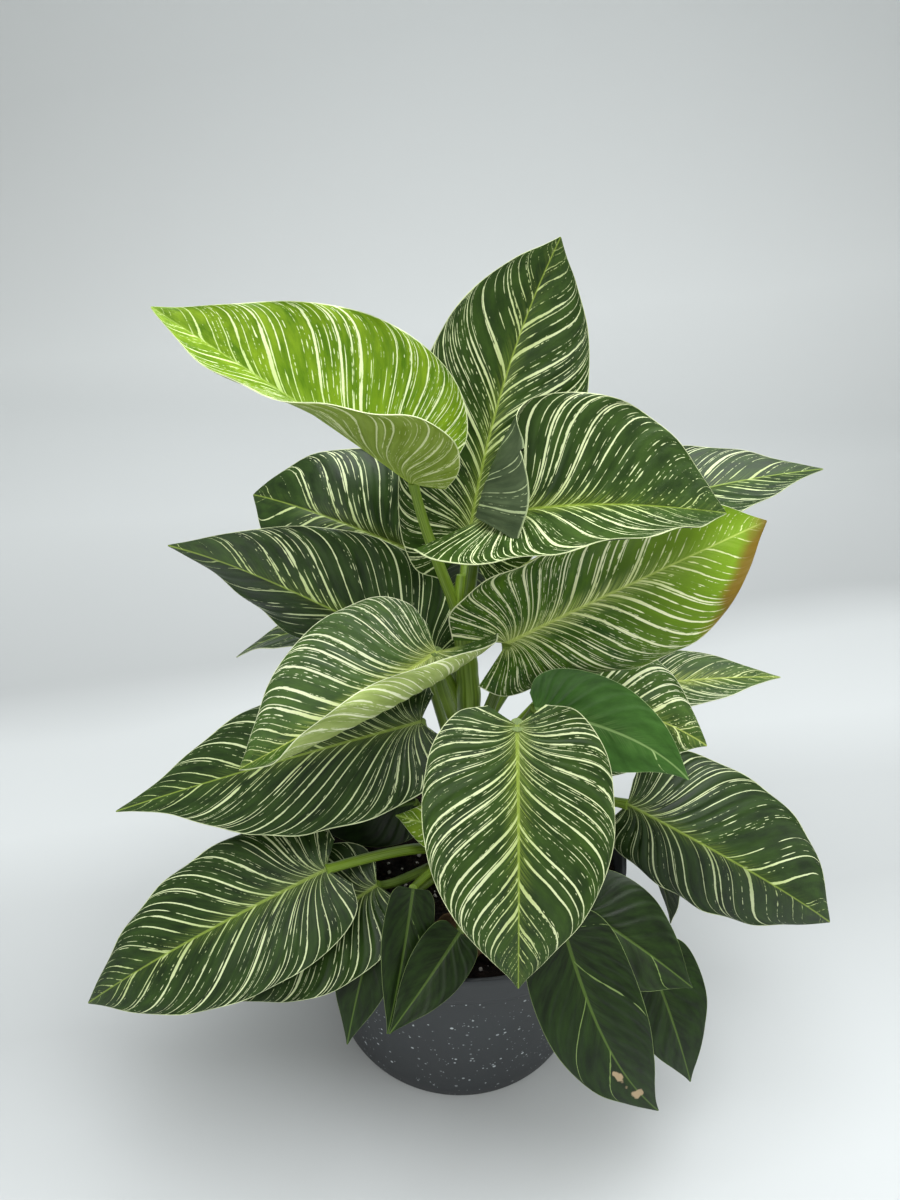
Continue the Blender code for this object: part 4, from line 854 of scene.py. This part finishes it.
def plasticMaterial():
    # Recycled polypropylene, injection moulded: charcoal grey, satin, with tiny pale specks of mineral filler
    # and dried hard-water splashes below the band, which itself wiped clean.
    made, tree, shader = newMaterial("charcoalPolypropylene")
    coords = addNode(tree, "ShaderNodeTexCoord").outputs["Object"]
    place = addNode(tree, "ShaderNodeSeparateXYZ", {0: coords})
    clouds = addNode(tree, "ShaderNodeTexNoise", {"Vector": coords, "Scale": 22.0, "Detail": 6.0})
    clouds = addNode(tree, "ShaderNodeMapRange", {0: clouds.outputs[0], 1: 0.35, 2: 0.7, 3: 0.0, 4: 1.0})
    color = addNode(tree, "ShaderNodeMix", {0: clouds.outputs[0], 6: linearColor(pot["plastic"]),
                                            7: linearColor(pot["plasticWorn"])}, data_type="RGBA").outputs[2]
    below = addNode(tree, "ShaderNodeMapRange", {0: place.outputs[2], 1: 0.094, 2: 0.097, 3: 1.0, 4: 0.0})
    patch = addNode(tree, "ShaderNodeTexNoise", {"Vector": coords, "Scale": 28.0, "Detail": 2.0})
    leaning = addNode(tree, "ShaderNodeMath", {0: place.outputs[0], 1: 3.2, 2: patch.outputs[0]},
                      operation="MULTIPLY_ADD")
    thickness = addNode(tree, "ShaderNodeMapRange",
                        {0: leaning.outputs[0], 1: 0.25, 2: 0.75, 3: 0.45, 4: 1.3})
    total = None
    # specks 0.3 to 0.9 mm across in cells of 2.2 and 3.6 mm
    for cellSize, radius, share in ((2.2, 0.2, 0.5), (3.8, 0.2, 0.62)):
        cells = addNode(tree, "ShaderNodeTexVoronoi", {"Vector": coords, "Scale": 1000 / cellSize})
        parts = addNode(tree, "ShaderNodeSeparateColor", {0: cells.outputs["Color"]})
        size = addNode(tree, "ShaderNodeMath", {0: parts.outputs[0], 1: radius}, operation="MULTIPLY")
        sizeEnd = addNode(tree, "ShaderNodeMath", {0: size.outputs[0], 1: 0.06}, operation="ADD")
        spot = addNode(tree, "ShaderNodeMapRange", {0: cells.outputs["Distance"], 1: sizeEnd.outputs[0],
                                                    2: size.outputs[0], 3: 0.0, 4: 1.0})
        limit = addNode(tree, "ShaderNodeMath", {0: thickness.outputs[0], 1: share}, operation="MULTIPLY")
        present = addNode(tree, "ShaderNodeMath", {0: parts.outputs[1], 1: limit.outputs[0]},
                          operation="LESS_THAN")
        spot = addNode(tree, "ShaderNodeMath", {0: spot.outputs[0], 1: present.outputs[0]},
                       operation="MULTIPLY")
        faint = addNode(tree, "ShaderNodeMapRange", {0: parts.outputs[2], 1: 0.0, 2: 1.0, 3: 0.25, 4: 0.95})
        spot = addNode(tree, "ShaderNodeMath", {0: spot.outputs[0], 1: faint.outputs[0]},
                       operation="MULTIPLY")
        total = spot if total is None else addNode(tree, "ShaderNodeMath",
                                                   {0: total.outputs[0], 1: spot.outputs[0]},
                                                   operation="MAXIMUM")
    total = addNode(tree, "ShaderNodeMath", {0: total.outputs[0], 1: below.outputs[0]}, operation="MULTIPLY")
    color = addNode(tree, "ShaderNodeMix", {0: total.outputs[0], 6: color, 7: linearColor(pot["fleck"])},
                    data_type="RGBA").outputs[2]
    tree.links.new(color, shader.inputs["Base Color"])
    grain = addNode(tree, "ShaderNodeTexNoise", {"Vector": coords, "Scale": 900.0, "Detail": 3.0})
    bump = addNode(tree, "ShaderNodeBump", {"Strength": 0.12, "Distance": 0.0002, "Height": grain.outputs[0]})
    tree.links.new(bump.outputs[0], shader.inputs["Normal"])
    gloss = addNode(tree, "ShaderNodeMapRange", {0: clouds.outputs[0], 1: 0.0, 2: 1.0, 3: 0.42, 4: 0.56})
    tree.links.new(gloss.outputs[0], shader.inputs["Roughness"])
    paint(shader, ior=1.49, specular=0.45)
    return made


potObject = makePot()
potObject.data.materials.append(plasticMaterial())
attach(potObject, "root")
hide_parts("pot")
print("pot made")

# Potting mix: peat and bark fines, bark chips, perlite and a dried leaf sheath lying on top.
soil = {"rings": 90, "sides": 220, "chips": 900, "perlite": 170, "seed": 5, "dark": "#0d0906",
        "brown": "#2b2018",
        "perliteWhite": "#d8d4cc", "bark": "#3b2a1c", "sheath": "#7d6444", "sheathDark": "#4b3824"}


def soilHeight(x, y):
    # mm above the pot's underside: a low mound round the stem, and crumbs a few mm high
    r = math.hypot(x - 1, y + 12)
    z = pot["soilLevel"] + pot["mound"] * math.exp(-(r / 38) ** 2)
    z += 1.5 * math.sin(x * 0.21 + 1.3) * math.sin(y * 0.17) + 0.9 * math.sin(x * 0.53 + y * 0.31)
    z += 0.6 * math.sin(x * 1.1 - y * 0.9) * math.sin(y * 1.3 + x * 0.4)
    return z


def soilMaterial(name, dark, light, scale):
    # Damp peat is almost black and fully matt; dry crumbs on top catch the light as brown specks.
    made, tree, shader = newMaterial(name)
    coords = addNode(tree, "ShaderNodeTexCoord").outputs["Object"]
    crumbs = addNode(tree, "ShaderNodeTexNoise", {"Vector": coords, "Scale": scale, "Detail": 8.0,
                                                  "Roughness": 0.7})
    level = addNode(tree, "ShaderNodeMapRange", {0: crumbs.outputs[0], 1: 0.42, 2: 0.72, 3: 0.0, 4: 1.0})
    tree.links.new(addNode(tree, "ShaderNodeMix", {0: level.outputs[0], 6: linearColor(dark),
                                                   7: linearColor(light)}, data_type="RGBA").outputs[2],
                   shader.inputs["Base Color"])
    bump = addNode(tree, "ShaderNodeBump", {"Strength": 0.9, "Distance": 0.002, "Height": crumbs.outputs[0]})
    tree.links.new(bump.outputs[0], shader.inputs["Normal"])
    paint(shader, roughness=0.93, specular=0.25)
    return made


def makeSoil():
    chance = random.Random(soil["seed"])
    edge = pot["shoulder"]
    rings, sides = soil["rings"], soil["sides"]
    points, faces = [], []
    for i in range(rings + 1):
        r = edge * (i / rings) ** 0.9
        for j in range(sides):
            a = 2 * math.pi * j / sides
            x, y = r * math.cos(a), r * math.sin(a)
            z = soilHeight(x, y) + chance.gauss(0, 0.35)
            points.append((x * mm, y * mm, z * mm))
    for i in range(rings):
        for j in range(sides):
            n = (j + 1) % sides
            faces.append((i * sides + j, (i + 1) * sides + j, (i + 1) * sides + n, i * sides + n))
    # the body of the mix below the surface, which shows through the drain holes
    low = pot["bottom"] - 4
    first = len(points)
    for r, z in ((edge - 2.6, 98.5), (low, 3), (0.1, 2.4)):
        points.extend((r * math.cos(2 * math.pi * j / sides) * mm,
                       r * math.sin(2 * math.pi * j / sides) * mm, z * mm)
                      for j in range(sides))
    for k, start in enumerate((rings * sides, first, first + sides)):
        after = first + k * sides
        for j in range(sides):
            n = (j + 1) % sides
            faces.append((start + j, after + j, after + n, start + n))
    mix = meshObject("potting_mix", points, faces,
                     [soilMaterial("dampPeatMix", soil["dark"], soil["brown"], 260.0)])
    return mix


def scatterGrains(name, count, sizes, squash, made, seed, lift=0.15, area=1.0):
    # irregular grains: each a small ball pushed in and out, lying on the mix
    chance = random.Random(seed)
    ball = [(0, 0, 1)]
    for i in range(1, 5):
        for j in range(7):
            a, b = math.pi * i / 5, 2 * math.pi * j / 7
            ball.append((math.sin(a) * math.cos(b), math.sin(a) * math.sin(b), math.cos(a)))
    ball.append((0, 0, -1))
    ballFaces = [(0, 1 + j, 1 + (j + 1) % 7) for j in range(7)]
    for i in range(3):
        for j in range(7):
            n = (j + 1) % 7
            ballFaces.append((1 + i * 7 + j, 8 + i * 7 + j, 8 + i * 7 + n, 1 + i * 7 + n))
    ballFaces += [(29, 22 + (j + 1) % 7, 22 + j) for j in range(7)]
    points, faces = [], []
    for _ in range(count):
        r = (pot["shoulder"] - 2.5) * math.sqrt(chance.random()) * area
        a = chance.uniform(0, 2 * math.pi)
        x, y = r * math.cos(a), r * math.sin(a)
        if math.hypot(x - 1, y + 12) < 10:
            continue
        size = chance.uniform(*sizes) * chance.uniform(0.6, 1.0)
        turn = (Matrix.Rotation(chance.uniform(0, 6.28), 3, "Z")
                @ Matrix.Rotation(chance.uniform(-0.7, 0.7), 3, "X"))
        shape = (size, size * chance.uniform(*squash), size * chance.uniform(*squash))
        z = soilHeight(x, y) + shape[2] * lift
        first = len(points)
        for p in ball:
            k = 1 + chance.uniform(-0.25, 0.25)
            q = turn @ Vector((p[0] * shape[0] * k, p[1] * shape[1] * k, p[2] * shape[2] * k))
            points.append(((x + q.x) * mm, (y + q.y) * mm, (z + q.z) * mm))
        faces.extend(tuple(first + i for i in f) for f in ballFaces)
    return meshObject(name, points, faces, [made])


def perliteMaterial():
    # Expanded volcanic glass: chalk white, fully matt, full of open pores that show as grey dots.
    made, tree, shader = newMaterial("expandedPerlite")
    coords = addNode(tree, "ShaderNodeTexCoord").outputs["Object"]
    pores = addNode(tree, "ShaderNodeTexNoise", {"Vector": coords, "Scale": 900.0, "Detail": 3.0})
    level = addNode(tree, "ShaderNodeMapRange", {0: pores.outputs[0], 1: 0.4, 2: 0.6, 3: 0.0, 4: 1.0})
    tree.links.new(addNode(tree, "ShaderNodeMix", {0: level.outputs[0], 6: linearColor("#8f8a82"),
                                                   7: linearColor(soil["perliteWhite"])},
                                                   data_type="RGBA").outputs[2],
                   shader.inputs["Base Color"])
    bump = addNode(tree, "ShaderNodeBump", {"Strength": 0.6, "Distance": 0.0005, "Height": pores.outputs[0]})
    tree.links.new(bump.outputs[0], shader.inputs["Normal"])
    paint(shader, roughness=0.95, specular=0.3)
    return made


def makeSheath():
    # the dried brown sheath of a fallen leaf, crumpled on the mix in front of the stem
    count, across = 46, 26
    points, faces = [], []
    for i in range(count + 1):
        t = i / count
        for j in range(across + 1):
            s = j / across - 0.5
            wide = 30 * math.sin(math.pi * min(1, t * 1.08 + 0.06)) ** 0.7
            x = -14 + 34 * t + 4 * math.sin(3 * t + 5 * s)
            y = -52 - 16 * t + wide * s * 0.55 + 3 * math.sin(9 * t)
            crumple = (4.5 * abs(math.sin(4.2 * s + 5 * t + 0.6)) + 2.2 * math.sin(13 * s + 9 * t)
                       + 1.4 * math.sin(21 * t - 11 * s))
            z = soilHeight(x, y) + 3.0 + crumple * 1.2 + 7 * math.sin(math.pi * t) * (1 - 2 * abs(s)) ** 0.8
            points.append((x * mm, y * mm, z * mm))
    for i in range(count):
        for j in range(across):
            a = i * (across + 1) + j
            faces.append((a, a + 1, a + across + 2, a + across + 1))
    made, tree, shader = newMaterial("driedLeafSheath")
    # Papery dead tissue: tan and brown, wrinkled along its veins, matt with a faint silky sheen on the folds.
    coords = addNode(tree, "ShaderNodeTexCoord").outputs["Object"]
    wrinkles = addNode(tree, "ShaderNodeTexNoise", {"Vector": coords, "Scale": 160.0, "Detail": 7.0})
    level = addNode(tree, "ShaderNodeMapRange", {0: wrinkles.outputs[0], 1: 0.35, 2: 0.65, 3: 0.0, 4: 1.0})
    tree.links.new(addNode(tree, "ShaderNodeMix", {0: level.outputs[0], 6: linearColor(soil["sheathDark"]),
                                                   7: linearColor(soil["sheath"])},
                                                   data_type="RGBA").outputs[2],
                   shader.inputs["Base Color"])
    bump = addNode(tree, "ShaderNodeBump",
                   {"Strength": 0.6, "Distance": 0.001, "Height": wrinkles.outputs[0]})
    tree.links.new(bump.outputs[0], shader.inputs["Normal"])
    paint(shader, roughness=0.75, specular=0.3)
    sheath = meshObject("dried_sheath", points, faces, [made])
    paper = sheath.modifiers.new("paper thickness", "SOLIDIFY")
    paper.thickness = 0.25 * mm
    return sheath


barkMaterial = soilMaterial("barkChips", soil["dark"], soil["bark"], 420.0)
soilPieces = [makeSoil(),
              scatterGrains("bark_chips", soil["chips"], (0.9, 2.6), (0.35, 0.8), barkMaterial, 11),
              scatterGrains("perlite_grains", soil["perlite"], (0.5, 1.5), (0.7, 1.0), perliteMaterial(), 12),
              makeSheath()]
for piece in soilPieces:
    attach(piece, "root")
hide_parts("soil")
print("potting mix made")

# Seamless pale sweep, soft light from all round, and the camera in front and above.
studio = {"halfWidth": 3.0, "back": 1.6, "curve": 0.6, "top": 3.0,
          "sky": "#f3f4f1", "skyStrength": 0.5, "topLight": 19.0, "frontLight": 5.5, "sideLight": 2.2,
          "cameraAt": (-0.011, -0.345, 0.474), "pitch": 31.0, "roll": 1.7, "lens": 27.0}


def makeSweep():
    profile = [(-2.5, 0.0), (0.0, 0.0)]
    back, curve = studio["back"], studio["curve"]
    profile += [(back - curve + curve * math.sin(a), curve - curve * math.cos(a))
                for a in np.linspace(0, math.pi / 2, 24)]
    profile.append((back, studio["top"]))
    points, faces = [], []
    for y, z in profile:
        points += [(-studio["halfWidth"], y, z), (studio["halfWidth"], y, z)]
    for i in range(len(profile) - 1):
        faces.append((2 * i, 2 * i + 1, 2 * i + 3, 2 * i + 2))
    made, tree, shader = newMaterial("matteSweepPaintedLight")
    # Smooth matt vinyl, faintly blue-grey. Its colour is a ramp of painted light and shade: bright and dark
    # bands across the floor and up the curve, brighter where it turns up behind the plant.
    coords = addNode(tree, "ShaderNodeTexCoord").outputs["Object"]
    place = addNode(tree, "ShaderNodeSeparateXYZ", {0: coords})
    drift = addNode(tree, "ShaderNodeTexNoise", {"Vector": coords, "Scale": 3.0, "Detail": 1.0})
    run = addNode(tree, "ShaderNodeMath", {0: place.outputs[1], 1: place.outputs[2]}, operation="ADD")
    run = addNode(tree, "ShaderNodeMath", {0: place.outputs[0], 1: -0.26, 2: run.outputs[0]},
                  operation="MULTIPLY_ADD")
    run = addNode(tree, "ShaderNodeMath", {0: drift.outputs[0], 1: 0.08, 2: run.outputs[0]},
                  operation="MULTIPLY_ADD")
    level = addNode(tree, "ShaderNodeMapRange", {0: run.outputs[0], 1: -0.5, 2: 2.5, 3: 0.0, 4: 1.0})
    ramp = addNode(tree, "ShaderNodeValToRGB", {0: level.outputs[0]})
    # painted light and shade: the brightness of the surrounding light at each point of the run, put into the
    # vinyl's colour
    paintedLightStops = [(-0.1, 0.64), (0.05, 0.49), (0.16, 0.53), (0.24, 0.62), (0.34, 0.60), (0.42, 0.46), (0.75, 0.64),
             (1.4, 0.78), (1.9, 0.72), (2.2, 0.68)]
    elements = ramp.color_ramp.elements
    while len(elements) < len(paintedLightStops):
        elements.new(0.5)
    for element, (at, value) in zip(elements, paintedLightStops):
        element.position = (at + 0.5) / 3
        element.color = (value * 0.955, value * 0.995, value, 1)
    tree.links.new(ramp.outputs[0], shader.inputs["Base Color"])
    paint(shader, roughness=0.7, specular=0.25)
    sweep = meshObject("sweep", points, faces, [made])
    return sweep


def softLight(name, at, size, power, aim=(0, 0, 0.2), tint="#ffffff"):
    data = bpy.data.lights.new(name, "AREA")
    data.shape, data.size, data.size_y, data.energy = "RECTANGLE", size[0], size[1], power
    data.color = linearColor(tint)[:3]
    lamp = bpy.data.objects.new(name, data)
    bpy.context.scene.collection.objects.link(lamp)
    lamp.location = at
    lamp.rotation_euler = (Vector(aim) - Vector(at)).to_track_quat("-Z", "Y").to_euler()
    return lamp


makeSweep()
world = bpy.data.worlds.new("soft surround")
bpy.context.scene.world = world
world.use_nodes = True
sky = world.node_tree.nodes["Background"]
sky.inputs[0].default_value = linearColor(studio["sky"])
sky.inputs[1].default_value = studio["skyStrength"]
softLight("overhead panel", (0.1, 0.0, 1.25), (1.2, 1.0), studio["topLight"], tint="#fbfdff")
softLight("front panel", (-0.5, -1.3, 1.1), (0.9, 0.9), studio["frontLight"])
softLight("right panel", (1.2, -0.3, 0.7), (0.8, 0.9), studio["sideLight"])

camera = bpy.data.objects.new("camera", bpy.data.cameras.new("camera"))
bpy.context.scene.collection.objects.link(camera)
camera.data.lens = studio["lens"]
camera.data.sensor_width = 36
pitch, roll = math.radians(studio["pitch"]), math.radians(studio["roll"])
forward = Vector((0, math.cos(pitch), -math.sin(pitch)))
level = Vector((1, 0, 0))
upward = level.cross(forward)
right = level * math.cos(roll) + upward * math.sin(roll)
upward = upward * math.cos(roll) - level * math.sin(roll)
camera.matrix_world = (Matrix.Translation(studio["cameraAt"])
                       @ Matrix((right, upward, -forward)).transposed().to_4x4())
camera.data.clip_start = 0.01
bpy.context.scene.camera = camera
bpy.context.scene.view_settings.view_transform = "Standard"

print("done")
